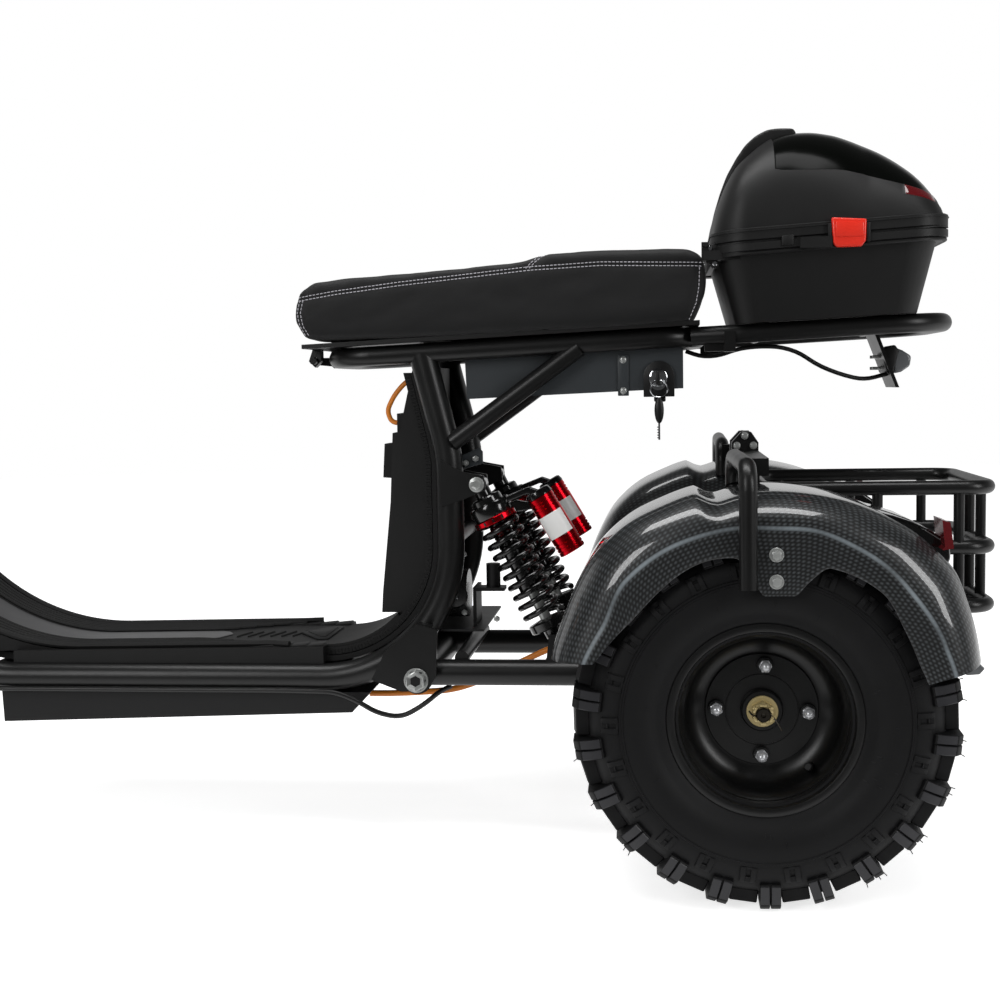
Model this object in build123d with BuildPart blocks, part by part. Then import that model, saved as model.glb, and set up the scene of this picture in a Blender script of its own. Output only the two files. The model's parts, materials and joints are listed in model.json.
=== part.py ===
from build123d import *
import os
from math import cos, radians, sin, tan

# Electric three-wheel scooter: a step-through frame of two bent tubes, one steered front wheel,
# two driven rear wheels on a swing arm, a hinged double seat, a rear basket and a top case.
# Millimetres. The front is towards -X, the left side towards -Y, the floor is Z = 0. Lengths
# along X are given from the rear axle, so that the whole scooter follows it.

# ---------------------------------------------------------------- driving dimensions
WHEEL_RADIUS = 228.6            # tip of the lugs
TYRE_WIDTH = 241.0
LUG_DEPTH = 16.0
TREAD_PITCHES = 22              # lugs round each shoulder
LUG_LENGTH = 30.0               # along the tread
RIM_LIP_RADIUS = 115.5
BEAD_RADIUS = 100.0             # rim barrel, where the tyre sits
RIM_WIDTH = 206.0
RIM_WALL = 4.0
HUB_DISC_OUT = 40.0             # wheel's middle to the face of its disc
HUB_BOSS_R = 38.0
BOLT_CIRCLE_RADIUS = 55.0
WHEEL_NUT = 15.0                # across flats
WHEELBASE = 1640.0
TRACK = 604.0                   # between the middles of the rear tyres
BASKET_REACH = 322.0            # rear axle to the back of the basket

FRAME_TUBE_R = 19.0
FRAME_HALF = 108.0              # middle plane to the middle of a main tube
SILL_Z = 218.0                  # middle of the main tubes under the deck
COLUMN_X = -411.0               # middle of the upright tubes
COLUMN_TOP_X = -446.0           # where they meet the seat rails
COLUMN_BEND = 185.0
DECK_SETBACK = 586.0            # front axle to where the deck starts to curve up
DECK_FRONT_THICK = 17.0
DECK_REAR_THICK = 24.0
SHIELD_BEND = 182.0
SHIELD_LEAN = 56.0              # degrees above the floor
SHIELD_THICK = 10.0
KNEE_Z = 450.0                  # where the front tubes turn in to the steering head
BOX_UNDER_Z = 150.0             # lowest edge of the box under the deck

RAKE = 18.0                     # degrees from upright
FORK_OFFSET = 40.0              # fork legs ahead of the steering axis
FORK_HALF = 168.0               # middle plane to a fork leg
STANCHION_R = 21.5
SLIDER_R = 27.0
FRONT_AXLE_R = 10.0
HEAD_LOW = 334.0                # ends of the head tube, along the steering axis from axle height
HEAD_HIGH = 484.0
HEAD_R = 26.0
STEM_R = 15.0
BAR_R = 11.0                    # handlebar tube
GRIP_R = 16.0

SEAT_RAIL_R = 13.5
SEAT_RAIL_FRONT_X = -573.5
SEAT_RAIL_REAR_X = -67.5
SEAT_RAIL_HALF = 112.0
SEAT_RAIL_Z = 676.5             # height of the rail half way along
SEAT_TILT = 2.3                 # degrees, higher at the back
SEAT_HALF = 140.0
SEAT_EDGE_R = 12.0
SEAT_CLEARANCE = 1.5            # closed seat above its rail
SEAT_HINGE_X = -607.0
SEAT_HINGE_Z = 664.0
RAIL_GAP = 1.0                  # box under the seat to the seat rail beside it
BOX_WALL = 3.0
BOX_RISE = 11.0                 # rim of the box above the middle of the rail

PIVOT_X = -457.0                # swing arm pivot
PIVOT_Z = 222.0
PIVOT_R = 21.0
PIVOT_HALF = 143.0              # middle plane to the inside of a pivot plate
ARM_R = 18.0
ARM_HALF = 122.0
HOUSING_R = 30.0                # rear axle housing

SHOCK_TOP_X = -371.0
SHOCK_TOP_Z = 490.0
SHOCK_FOOT_X = -264.0
SHOCK_FOOT_Z = 270.0
SHOCK_HALF = 108.0
SHOCK_EYE_R = 12.5
SHOCK_EYE_HALF = 14.0
EAR_THICK = 5.0
SPRING_R = 25.5                 # middle of the wire
SPRING_WIRE_R = 4.2
RESERVOIR_R = 19.0

FENDER_WALL = 3.0
FENDER_SIDE_GAP = 8.5           # tyre's side to the inside of the fender
FENDER_SHOULDER_R = 30.0
ARCH_R = 10.5
CROSSBAR_Z = 517.0
CROSSBAR_SIZE = 22.0
BASKET_HALF = 142.0
BASKET_R = 9.5
BASKET_BAR_R = 7.0
RACK_R = 12.5
RACK_HALF = 125.0

CASE_HALF = 190.0
CASE_WALL = 4.0
CASE_CORNER_R = 42.0            # rounding of the case and its lid
PIN_GAP = 0.5                   # hinge pin to its eye
HOSE_R = 3.5
LEAD_R = 3.0

# ---------------------------------------------------------------- frames and shared places
overall_length = WHEELBASE + WHEEL_RADIUS + BASKET_REACH
rear_x = overall_length / 2 - BASKET_REACH
front_x = rear_x - WHEELBASE
axle_z = WHEEL_RADIUS
deck_front_x = DECK_SETBACK - WHEELBASE
CHASSIS = Plane(origin=(rear_x, 0, 0))
SIDE = Plane(origin=(rear_x, 0, 0), x_dir=(1, 0, 0), z_dir=(0, -1, 0))
STEER = Plane(
    origin=(front_x + FORK_OFFSET / cos(radians(RAKE)), 0, axle_z),
    x_dir=(cos(radians(RAKE)), 0, -sin(radians(RAKE))),
    z_dir=(sin(radians(RAKE)), 0, cos(radians(RAKE))),
)
STEER_SIDE = Plane(origin=STEER.origin, x_dir=STEER.x_dir, z_dir=(0, -1, 0))
axle_s = -FORK_OFFSET * tan(radians(RAKE))
SIDES = {"left": -1, "right": 1}


def side_plane(y):
    """A plane facing the left side at y: x to the back from the rear axle, y up."""
    return SIDE.offset(-y)


def cross_plane(x, z=0.0):
    """A plane across the scooter at x, facing the back: x to the right, y up."""
    return Plane(origin=(rear_x + x, 0, z), x_dir=(0, 1, 0), z_dir=(1, 0, 0))


def wheel_plane(x, y, outward):
    """A plane on a wheel's middle for its profile: x along the axle, outward, and y up."""
    return Plane(origin=(x, y, axle_z), x_dir=(0, outward, 0), z_dir=(outward, 0, 0))


def wheel_axis(x):
    """The axle's line of a wheel."""
    return Axis((x, 0, axle_z), (0, 1, 0))


def span(sign, near, far):
    """The two distances from the middle plane as y values in rising order."""
    return sorted((sign * near, sign * far))


def bent_bar(points, bends, radius, frame=CHASSIS, closed=False):
    """A round bar along straight runs whose corners have the given bend radius."""
    with BuildPart() as bar:
        with BuildLine(frame) as route:
            if bends:
                FilletPolyline(*points, radius=bends, close=closed)
            else:
                Polyline(*points)
        with BuildSketch(Plane(origin=route.line @ 0, z_dir=route.line % 0)):
            Circle(radius)
        sweep(path=route.line)
    return bar.part


def turned(points, x, y, outward):
    """A solid of revolution about a wheel's axle from (out, radius) points."""
    with BuildPart() as solid:
        with BuildSketch(wheel_plane(x, y, outward)):
            Polygon(*points, align=None)
        revolve(axis=wheel_axis(x))
    return solid.part


def pillar(start, end, radius, frame=CHASSIS):
    """A straight round bar between two points."""
    return bent_bar([start, end], None, radius, frame)


def slab(points, y_from, y_to):
    """A plate with a side outline, from y_from to y_to across the scooter."""
    with BuildPart() as plate:
        with BuildSketch(side_plane(y_to)):
            Polygon(*points, align=None)
        extrude(amount=y_to - y_from)
    return plate.part


def block(x_from, x_to, y_from, y_to, z_from, z_to):
    """A square-edged block between two corners."""
    return slab([(x_from, z_from), (x_to, z_from), (x_to, z_to), (x_from, z_to)], y_from, y_to)


def lead(points, radius):
    """A clipped lead or hose: straight runs joined by arcs as large as the runs allow."""
    places = [Vector(*point) for point in points]
    bends = []
    for before, corner, after in zip(places, places[1:], places[2:]):
        turn = (corner - before).get_angle(after - corner)
        shorter = min((corner - before).length, (after - corner).length)
        bends.append(0.45 * shorter / tan(radians(turn / 2)))
    return bent_bar(points, bends, radius)


# ---------------------------------------------------------------- main frame
lean = radians(SHIELD_LEAN)
front_corner_x = deck_front_x - SHIELD_BEND * tan(lean / 2)
knee_x = front_corner_x - (KNEE_Z - SILL_Z) / tan(lean)
head_join_s = (HEAD_LOW + HEAD_HIGH) / 2 + 25
head_join = STEER.from_local_coords(Vector(14, 0, head_join_s))
rail_slope = tan(radians(SEAT_TILT))
rail_mid_x = (SEAT_RAIL_FRONT_X + SEAT_RAIL_REAR_X) / 2
shoulder_z = 530.0              # where the upright tubes lean forward to the rails
knee_bend, shoulder_bend = 120.0, 200.0


def rail_z(x):
    """Height of the middle of the seat rail at x."""
    return SEAT_RAIL_Z + (x - rail_mid_x) * rail_slope


pieces = {}
for side, sign in SIDES.items():
    y = sign * FRAME_HALF
    run = [
        (head_join.X - rear_x, sign * (HEAD_R - 2), head_join.Z),
        (knee_x, y, KNEE_Z),
        (front_corner_x, y, SILL_Z),
        (COLUMN_X, y, SILL_Z),
        (COLUMN_X, y, shoulder_z),
        (COLUMN_TOP_X, y, rail_z(COLUMN_TOP_X)),
    ]
    rail_y = sign * SEAT_RAIL_HALF
    with BuildPart() as main_tube:
        add(bent_bar(run, [knee_bend, SHIELD_BEND, COLUMN_BEND, shoulder_bend], FRAME_TUBE_R))
        add(pillar((SEAT_RAIL_FRONT_X, rail_y, rail_z(SEAT_RAIL_FRONT_X)),
                   (SEAT_RAIL_REAR_X, rail_y, rail_z(SEAT_RAIL_REAR_X)), SEAT_RAIL_R), mode=Mode.SUBTRACT)
        split(bisect_by=Plane(origin=(rear_x + rail_mid_x, 0, SEAT_RAIL_Z),
                              z_dir=(-rail_slope, 0, 1)), keep=Keep.BOTTOM)
        with BuildSketch(STEER.offset(HEAD_LOW - HEAD_R)):
            Circle(HEAD_R)
        extrude(amount=HEAD_HIGH - HEAD_LOW + 2 * HEAD_R, mode=Mode.SUBTRACT)
    main_tube.part.label = f"main_tube_{side}"
    pieces[f"main_tube_{side}"] = main_tube

both_main_tubes = [pieces["main_tube_left"].part, pieces["main_tube_right"].part]

gusset_half = 26.0
with BuildPart() as steering_head:
    with BuildSketch(STEER.offset(HEAD_LOW)):
        Circle(HEAD_R)
    extrude(amount=HEAD_HIGH - HEAD_LOW)
    with BuildSketch(STEER_SIDE):
        Polygon((0, HEAD_LOW + 12), (0, HEAD_HIGH - 12), (52, HEAD_HIGH - 40), (60, HEAD_LOW + 30),
                align=None)
    extrude(amount=gusset_half, both=True)
    add(both_main_tubes, mode=Mode.SUBTRACT)
    with BuildSketch(STEER.offset(HEAD_LOW)):
        Circle(STEM_R + 2)
    extrude(amount=HEAD_HIGH - HEAD_LOW, mode=Mode.SUBTRACT)
steering_head.part.label = "steering_head"

tube_inside = FRAME_HALF - FRAME_TUBE_R
column_start_x = COLUMN_X - COLUMN_BEND
ear_gap = SHOCK_EYE_HALF + 1.5
ear_outline = [(COLUMN_X - 9, SHOCK_TOP_Z - 30), (COLUMN_X + 23, SHOCK_TOP_Z - 20),
               (SHOCK_TOP_X + 12, SHOCK_TOP_Z - 8), (SHOCK_TOP_X + 10, SHOCK_TOP_Z + 12),
               (COLUMN_X + 19, SHOCK_TOP_Z + 18), (COLUMN_X - 9, SHOCK_TOP_Z + 34)]
with BuildPart() as cross_members:
    for x, z, radius in ((deck_front_x - 38, SILL_Z + 4, 11), (column_start_x + 66, SILL_Z + 14, 11),
                         (COLUMN_X, SHOCK_TOP_Z + 22, 10), (COLUMN_X, 410, 10)):
        add(pillar((x, -FRAME_HALF, z), (x, FRAME_HALF, z), radius))
    for sign in SIDES.values():
        for inward in (-1, 1):
            ear_y = sign * SHOCK_HALF + inward * (ear_gap + EAR_THICK / 2)
            add(slab(ear_outline, ear_y - EAR_THICK / 2, ear_y + EAR_THICK / 2))
    add(both_main_tubes, mode=Mode.SUBTRACT)
cross_members.part.label = "frame_cross_members"

# ---------------------------------------------------------------- seat frame
rail_front_z = rail_z(SEAT_RAIL_FRONT_X)
rail_rear_z = rail_z(SEAT_RAIL_REAR_X)
rail_points = [
    (SEAT_RAIL_FRONT_X, -SEAT_RAIL_HALF, rail_front_z),
    (SEAT_RAIL_FRONT_X, SEAT_RAIL_HALF, rail_front_z),
    (SEAT_RAIL_REAR_X, SEAT_RAIL_HALF, rail_rear_z),
    (SEAT_RAIL_REAR_X, -SEAT_RAIL_HALF, rail_rear_z),
]
brace_r, brace_top_x, brace_foot_z = 12.5, -229.0, 548.0
hinge_pin_r, hinge_half, hinge_plate_half = 5.0, 80.0, 44.0
with BuildPart() as seat_frame:
    add(bent_bar(rail_points, 55, SEAT_RAIL_R, closed=True))
    for x in (COLUMN_TOP_X, COLUMN_X + 11):
        add(pillar((x, -SEAT_RAIL_HALF, rail_z(x)), (x, SEAT_RAIL_HALF, rail_z(x)), 10))
    for sign in SIDES.values():
        foot = (COLUMN_X + 6, sign * (FRAME_HALF + 10), brace_foot_z)
        top = (brace_top_x, sign * (SEAT_RAIL_HALF + 2), rail_z(brace_top_x) - 6)
        add(pillar(foot, top, brace_r))
    add(pillar((SEAT_HINGE_X, -hinge_half, SEAT_HINGE_Z), (SEAT_HINGE_X, hinge_half, SEAT_HINGE_Z),
               hinge_pin_r))
    add(slab([(SEAT_HINGE_X - 5, SEAT_HINGE_Z - 5), (SEAT_RAIL_FRONT_X, SEAT_HINGE_Z - 9),
              (SEAT_RAIL_FRONT_X, SEAT_HINGE_Z + 5), (SEAT_HINGE_X - 5, SEAT_HINGE_Z + 5)],
             -hinge_plate_half, hinge_plate_half))
    add(both_main_tubes, mode=Mode.SUBTRACT)
seat_frame.part.label = "seat_frame"

# ---------------------------------------------------------------- rack behind the seat
rack_front_x, rack_rear_x = -12.0, 262.0
rack_front_z, rack_slope = 688.5, 0.0413
tail_plate_half, tail_plate_foot_z = 45.0, 613.0


def rack_z(x):
    """Height of the middle of the rack's tube at x."""
    return rack_front_z + (x - rack_front_x) * rack_slope


rack_start_x = SEAT_RAIL_REAR_X - 8
with BuildPart() as rack:
    add(bent_bar([
        (rack_start_x, -SEAT_RAIL_HALF, rail_rear_z),
        (rack_front_x, -RACK_HALF, rack_z(rack_front_x)),
        (rack_rear_x, -RACK_HALF, rack_z(rack_rear_x)),
        (rack_rear_x, RACK_HALF, rack_z(rack_rear_x)),
        (rack_front_x, RACK_HALF, rack_z(rack_front_x)),
        (rack_start_x, SEAT_RAIL_HALF, rail_rear_z),
    ], [60, 70, 70, 60], RACK_R))
    for x in (20, 178):
        add(pillar((x, -RACK_HALF, rack_z(x)), (x, RACK_HALF, rack_z(x)), 9))
    for sign in SIDES.values():
        near, far = span(sign, RACK_HALF - 16, RACK_HALF + 13)
        add(block(rack_front_x - 22, rack_front_x - 7, near, far, 665, 692))
        near, far = span(sign, RACK_HALF - 24, RACK_HALF - 4)
        add(block(SEAT_RAIL_REAR_X + 8, rack_front_x - 20, near, far, 666, 691))
    add(slab([(171, rack_z(171)), (176, rack_z(176)), (208, tail_plate_foot_z), (203, tail_plate_foot_z)],
             -tail_plate_half, tail_plate_half))
    add(seat_frame.part, mode=Mode.SUBTRACT)
rack.part.label = "rear_rack"

# ---------------------------------------------------------------- deck, shield and trim
deck_under = SILL_Z + FRAME_TUBE_R
deck_half = FRAME_HALF + 4
shield_top_z = KNEE_Z + 40
with BuildPart() as deck:
    add(slab([(deck_front_x, deck_under), (column_start_x, deck_under),
              (column_start_x, deck_under + DECK_REAR_THICK), (deck_front_x, deck_under + DECK_FRONT_THICK)],
             -deck_half, deck_half))
deck.part.label = "deck_mat"

shield_in = SHIELD_BEND - FRAME_TUBE_R - SHIELD_THICK
lean_x, lean_z = -cos(lean), sin(lean)
with BuildPart() as leg_shield:
    with BuildSketch(SIDE):
        with BuildLine():
            centre = (deck_front_x, SILL_Z + SHIELD_BEND)
            outer = CenterArc(centre, shield_in + SHIELD_THICK, 270, -SHIELD_LEAN)
            inner = CenterArc(centre, shield_in, 270, -SHIELD_LEAN)
            Line(outer @ 0, inner @ 0)
            rise = (shield_top_z - (inner @ 1).Y) / lean_z
            top_inner = (inner @ 1) + Vector(lean_x, lean_z) * rise
            top_outer = (outer @ 1) + Vector(lean_x, lean_z) * rise
            Polyline(inner @ 1, top_inner, top_outer, outer @ 1)
        make_face()
    extrude(amount=tube_inside - 1, both=True)
    add(both_main_tubes, mode=Mode.SUBTRACT)
leg_shield.part.label = "leg_shield"

column_centre = (column_start_x, SILL_Z + COLUMN_BEND)
trim_out = COLUMN_BEND - FRAME_TUBE_R
trim_sweep = 46                 # degrees of the column's bend that the trim covers
with BuildPart() as rear_trim:
    with BuildSketch(SIDE):
        with BuildLine():
            outer = CenterArc(column_centre, trim_out, 270, trim_sweep)
            inner = CenterArc(column_centre, trim_out - DECK_REAR_THICK, 270, trim_sweep)
            Line(outer @ 0, inner @ 0)
            Line(outer @ 1, inner @ 1)
        make_face()
    extrude(amount=tube_inside - 0.5, both=True)
rear_trim.part.label = "rear_trim"

box_top_z = SILL_Z - FRAME_TUBE_R - 3
with BuildPart() as underdeck_box:
    add(slab([(deck_front_x - 19, BOX_UNDER_Z), (column_start_x + 39, BOX_UNDER_Z + 17),
              (column_start_x + 66, box_top_z), (deck_front_x - 21, box_top_z)],
             -FRAME_HALF - 2, FRAME_HALF + 2))
    add(block(deck_front_x + 14, column_start_x + 34, -tube_inside + 2, tube_inside - 2,
              box_top_z, deck_under))
    add(both_main_tubes, mode=Mode.SUBTRACT)
underdeck_box.part.label = "controller_box"

# ---------------------------------------------------------------- battery case and its lock
battery_foot_z, battery_top_z, battery_half = 306.0, 652.0, 82.0
battery_back_x = COLUMN_X - 25
lock_near, lock_far = -60.0, -28.0
with BuildPart() as battery_case:
    add(slab([(-516, battery_foot_z), (-514, 336), (-500, 464), (-495, 561), (-485, 563),
              (-464, battery_top_z), (battery_back_x, battery_top_z), (battery_back_x, battery_foot_z)],
             -battery_half, battery_half))
    add(slab([(-490, 495), (-514, 497), (-511, 545), (-490, 547)], lock_near, lock_far))
    add(slab([(-478, 562), (-490, 562), (-490, 588), (-472, 590)], lock_near - 12, lock_near + 12))
battery_case.part.label = "battery_case"

# ---------------------------------------------------------------- box under the seat
box_half = SEAT_RAIL_HALF - SEAT_RAIL_R - RAIL_GAP
box_front_x, box_rear_x = -389.0, -88.0
box_foot_front_z, box_foot_rear_z = 607.0, 617.0


def box_side(inset, top):
    """The box's side outline, moved in by inset, with its rim at top above the rail."""
    return [(box_front_x + inset, rail_z(box_front_x) + top), (box_front_x + 3 + inset, box_foot_front_z + inset),
            (box_rear_x - inset, box_foot_rear_z + inset), (box_rear_x - inset, rail_z(box_rear_x) + top)]


with BuildPart() as storage_box:
    add(slab(box_side(0, BOX_RISE), -box_half, box_half))
    add(slab(box_side(BOX_WALL, BOX_RISE + 1), -box_half + BOX_WALL, box_half - BOX_WALL),
        mode=Mode.SUBTRACT)
    add(seat_frame.part, mode=Mode.SUBTRACT)
storage_box.part.label = "storage_box"

lock_x, lock_z, lock_plate, lock_barrel_r = -122.0, 632.0, 3.0, 11.0
with BuildPart() as seat_lock:
    with BuildSketch(side_plane(-box_half)):
        with Locations((lock_x, lock_z)):
            SlotOverall(44, 34, rotation=90)
    extrude(amount=lock_plate)
    with BuildSketch(side_plane(-box_half - lock_plate)):
        with Locations((lock_x, lock_z - 6)):
            Circle(lock_barrel_r)
    extrude(amount=12)
seat_lock.part.label = "seat_lock"

# ---------------------------------------------------------------- seat, hinged at its front edge
pan_low = SEAT_RAIL_R + SEAT_CLEARANCE
pan_front_x, pan_rear_x, pan_thick = -610.0, -66.0, 6.0
eye_y, eye_half = 60.0, 8.0
pan_half = SEAT_HALF - 8


def pan_line(x, above):
    """A point over the rail, above its middle by the given height."""
    return (x, rail_z(x) + above)


with BuildPart() as seat_pan:
    add(slab([pan_line(pan_front_x, pan_low), pan_line(pan_rear_x, pan_low),
              pan_line(pan_rear_x, pan_low + pan_thick), pan_line(pan_front_x, pan_low + pan_thick)],
             -pan_half, pan_half))
    for sign in SIDES.values():
        add(slab([(SEAT_HINGE_X - 9, SEAT_HINGE_Z), (SEAT_HINGE_X, SEAT_HINGE_Z - 9),
                  (SEAT_HINGE_X + 9, SEAT_HINGE_Z), pan_line(-598, pan_low + 1),
                  pan_line(pan_front_x, pan_low + 1)],
                 sign * eye_y - eye_half, sign * eye_y + eye_half))
        with BuildSketch(side_plane(sign * eye_y + eye_half)):
            with Locations((SEAT_HINGE_X, SEAT_HINGE_Z)):
                Circle(hinge_pin_r + PIN_GAP)
        extrude(amount=2 * eye_half, mode=Mode.SUBTRACT)
seat_pan.part.label = "seat_pan"

seat_low = pan_low + pan_thick
with BuildPart() as seat:
    add(slab([pan_line(-606, seat_low), (-620, 725), (-608, 757), (-582, 772), (-469, 777),
              (-373, 784), (-278, 799), (-198, 802), (-78, 802), (-62, 782), (-62, 745),
              pan_line(-75, seat_low)], -SEAT_HALF, SEAT_HALF))
    fillet(seat.edges().filter_by(Axis.Y, reverse=True).group_by(Axis.Z)[-1], radius=SEAT_EDGE_R)
seat.part.label = "seat_cushion"

# ---------------------------------------------------------------- pivot, arms and rear axle
plate_thick, pivot_nut = 7.0, 8.0
with BuildPart() as pivot_plates:
    for sign in SIDES.values():
        near, far = span(sign, PIVOT_HALF, PIVOT_HALF + plate_thick)
        add(slab([(PIVOT_X + 30, PIVOT_Z + 70), (PIVOT_X + 28, PIVOT_Z + 5), (PIVOT_X + 13, PIVOT_Z - 16),
                  (PIVOT_X - 21, PIVOT_Z - 16), (PIVOT_X - 63, PIVOT_Z), (PIVOT_X - 43, PIVOT_Z + 40),
                  (PIVOT_X + 2, PIVOT_Z + 78)], near, far))
        near, far = span(sign, FRAME_HALF + 4, PIVOT_HALF)
        add(slab([(-500, 258), (-486, 232), (-440, 280), (-436, 296), (-455, 300)], near, far))
        near, far = span(sign, PIVOT_HALF + plate_thick, PIVOT_HALF + plate_thick + pivot_nut)
        with BuildSketch(side_plane(far)):
            with Locations((PIVOT_X, PIVOT_Z)):
                RegularPolygon(14, 6)
        extrude(amount=far - near)
    add(both_main_tubes, mode=Mode.SUBTRACT)
pivot_plates.part.label = "pivot_plates"

foot_low_z = SHOCK_FOOT_Z - 34
with BuildPart() as swing_arm:
    add(pillar((PIVOT_X, -PIVOT_HALF + 0.5, PIVOT_Z), (PIVOT_X, PIVOT_HALF - 0.5, PIVOT_Z), PIVOT_R))
    for x, z, radius in ((-397, 248, 10), (-215, 228, 14)):
        add(pillar((x, -ARM_HALF, z), (x, ARM_HALF, z), radius))
    for sign in SIDES.values():
        add(pillar((PIVOT_X, sign * ARM_HALF, PIVOT_Z + 6), (0, sign * ARM_HALF, axle_z), ARM_R))
        for inward in (-1, 1):
            ear_y = sign * SHOCK_HALF + inward * (ear_gap + EAR_THICK / 2)
            add(slab([(SHOCK_FOOT_X - 16, foot_low_z), (SHOCK_FOOT_X + 20, foot_low_z),
                      (SHOCK_FOOT_X + 10, SHOCK_FOOT_Z + 12), (SHOCK_FOOT_X - 10, SHOCK_FOOT_Z + 12)],
                     ear_y - EAR_THICK / 2, ear_y + EAR_THICK / 2))
        near, far = span(sign, SHOCK_HALF - ear_gap - EAR_THICK, ARM_HALF)
        add(block(SHOCK_FOOT_X - 18, SHOCK_FOOT_X + 22, near, far, foot_low_z, foot_low_z + 6))
swing_arm.part.label = "swing_arm"

housing_end = TRACK / 2 - 34
flange_r, motor_r = 40.0, 78.0
with BuildPart() as rear_axle:
    add(turned([(-housing_end, 0), (-housing_end, flange_r), (-housing_end + 8, flange_r),
                (-housing_end + 8, HOUSING_R), (-105, HOUSING_R), (-88, 62), (-70, motor_r),
                (70, motor_r), (88, 62), (105, HOUSING_R), (housing_end - 8, HOUSING_R),
                (housing_end - 8, flange_r), (housing_end, flange_r), (housing_end, 0)], rear_x, 0, 1))
    add(swing_arm.part, mode=Mode.SUBTRACT)
rear_axle.part.label = "rear_axle"

# ---------------------------------------------------------------- shock absorbers
shock_run = Vector(SHOCK_FOOT_X - SHOCK_TOP_X, 0, SHOCK_FOOT_Z - SHOCK_TOP_Z)
shock_length = shock_run.length
seat_from, seat_to = 52.0, shock_length - 34
shock_parts = (
    (6, 24, 12), (24, 36, 21), (36, seat_from, 30), (seat_from, 150, 13), (150, shock_length - 8, 8),
    (seat_to, seat_to + 12, 28),
)                               # from, to and radius along the shock from its upper eye
with BuildPart() as shocks:
    for sign in SIDES.values():
        y = sign * SHOCK_HALF
        top = Vector(rear_x + SHOCK_TOP_X, y, SHOCK_TOP_Z)
        along = Plane(origin=top, x_dir=(0, 1, 0), z_dir=shock_run)
        across = Plane(origin=top, x_dir=along.z_dir, z_dir=(0, -1, 0))
        for centre in (0, shock_length):
            with BuildSketch(across.offset(SHOCK_EYE_HALF)):
                with Locations((centre, 0)):
                    Circle(SHOCK_EYE_R)
            extrude(amount=-2 * SHOCK_EYE_HALF)
        for start, end, radius in shock_parts:
            with BuildSketch(along.offset(start)):
                Circle(radius)
            extrude(amount=end - start)
        with BuildSketch(Plane(origin=(rear_x - 286, y, 472), x_dir=(0, 1, 0), z_dir=(45, 0, -76))):
            Circle(RESERVOIR_R)
        extrude(amount=88)
        add(slab([(-362, 462), (-300, 486), (-276, 476), (-284, 456), (-356, 444)], y - 11, y + 11))
shocks.part.label = "shock_absorbers"

spring_start, spring_end = seat_from + 1 + SPRING_WIRE_R, seat_to - 1 - SPRING_WIRE_R
spring_turns = 9.5
with BuildPart() as springs:
    for sign in SIDES.values():
        top = Vector(rear_x + SHOCK_TOP_X, sign * SHOCK_HALF, SHOCK_TOP_Z)
        along = Plane(origin=top, x_dir=(0, 1, 0), z_dir=shock_run)
        with BuildLine() as coil:
            Helix(pitch=(spring_end - spring_start) / spring_turns, height=spring_end - spring_start,
                  radius=SPRING_R, center=along.offset(spring_start).origin, direction=along.z_dir)
        with BuildSketch(Plane(origin=coil.line @ 0, z_dir=coil.line % 0)):
            Circle(SPRING_WIRE_R)
        sweep(path=coil.line, is_frenet=True)
springs.part.label = "shock_springs"

# ---------------------------------------------------------------- horn and small electrics
horn_y, horn_z, horn_r, horn_thick = -52.0, 330.0, 34.0, 30.0
with BuildPart() as horn:
    with BuildSketch(cross_plane(battery_back_x + 12, horn_z)):
        with Locations((horn_y, 0)):
            Circle(horn_r)
    extrude(amount=horn_thick)
    add(block(battery_back_x, battery_back_x + 13, horn_y - 14, horn_y + 12, horn_z - 6, horn_z + 50))
horn.part.label = "horn"

tray_z, tray_thick, tray_front_x, tray_rear_x = 283.0, 3.0, COLUMN_X - 30, COLUMN_X + 44
switch_x, switch_r = -358.0, 10.0
with BuildPart() as tray:
    add(block(tray_front_x, tray_rear_x, -FRAME_HALF, FRAME_HALF, tray_z, tray_z + tray_thick))
    add(block(tray_front_x, tray_front_x + tray_thick, -tube_inside, tube_inside, tray_z, battery_foot_z))
    add(block(tray_rear_x - 19, tray_rear_x - 14, -75, -15, tray_z, 340))
    add(block(tray_rear_x - 19, switch_x + 17, -75, -45, 335, 340))
    add(pillar((switch_x, -60, 340), (switch_x, -60, 373), switch_r))
    add([*both_main_tubes, horn.part], mode=Mode.SUBTRACT)
tray.part.label = "electrics_tray"

# ---------------------------------------------------------------- rear basket
basket_back = BASKET_REACH - BASKET_R
loop_low_z, loop_mid_z, loop_top_z = 324.0, 402.0, 481.0
loop_front_low_x, loop_front_mid_x, loop_front_top_x = 30.0, 24.0, 18.0
slat_half, slat_low_z, slat_top_z = 8.0, 320.0, 325.0
with BuildPart() as basket:
    for z, x in ((loop_top_z, loop_front_top_x), (loop_mid_z, loop_front_mid_x), (loop_low_z, loop_front_low_x)):
        add(bent_bar([(x, -BASKET_HALF, z), (x, BASKET_HALF, z), (basket_back, BASKET_HALF, z),
                      (basket_back, -BASKET_HALF, z)], 32, BASKET_R, closed=True))
basket.part.label = "rear_basket"

with BuildPart() as basket_bars:
    for x in (60, 165, 270):
        for sign in SIDES.values():
            y = sign * BASKET_HALF
            add(pillar((x, y, loop_low_z), (x, y, loop_top_z), BASKET_BAR_R))
    for y in (-BASKET_HALF / 2, 0, BASKET_HALF / 2):
        add(pillar((basket_back, y, loop_low_z), (basket_back, y, loop_top_z), BASKET_BAR_R))
        add(pillar((loop_front_mid_x, y, loop_low_z), (loop_front_mid_x, y, loop_mid_z), BASKET_BAR_R))
    for y in range(-120, 121, 30):
        add(block(loop_front_low_x, basket_back, y - slat_half, y + slat_half, slat_low_z, slat_top_z))
    add(basket.part, mode=Mode.SUBTRACT)
basket_bars.part.label = "basket_bars"

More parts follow.
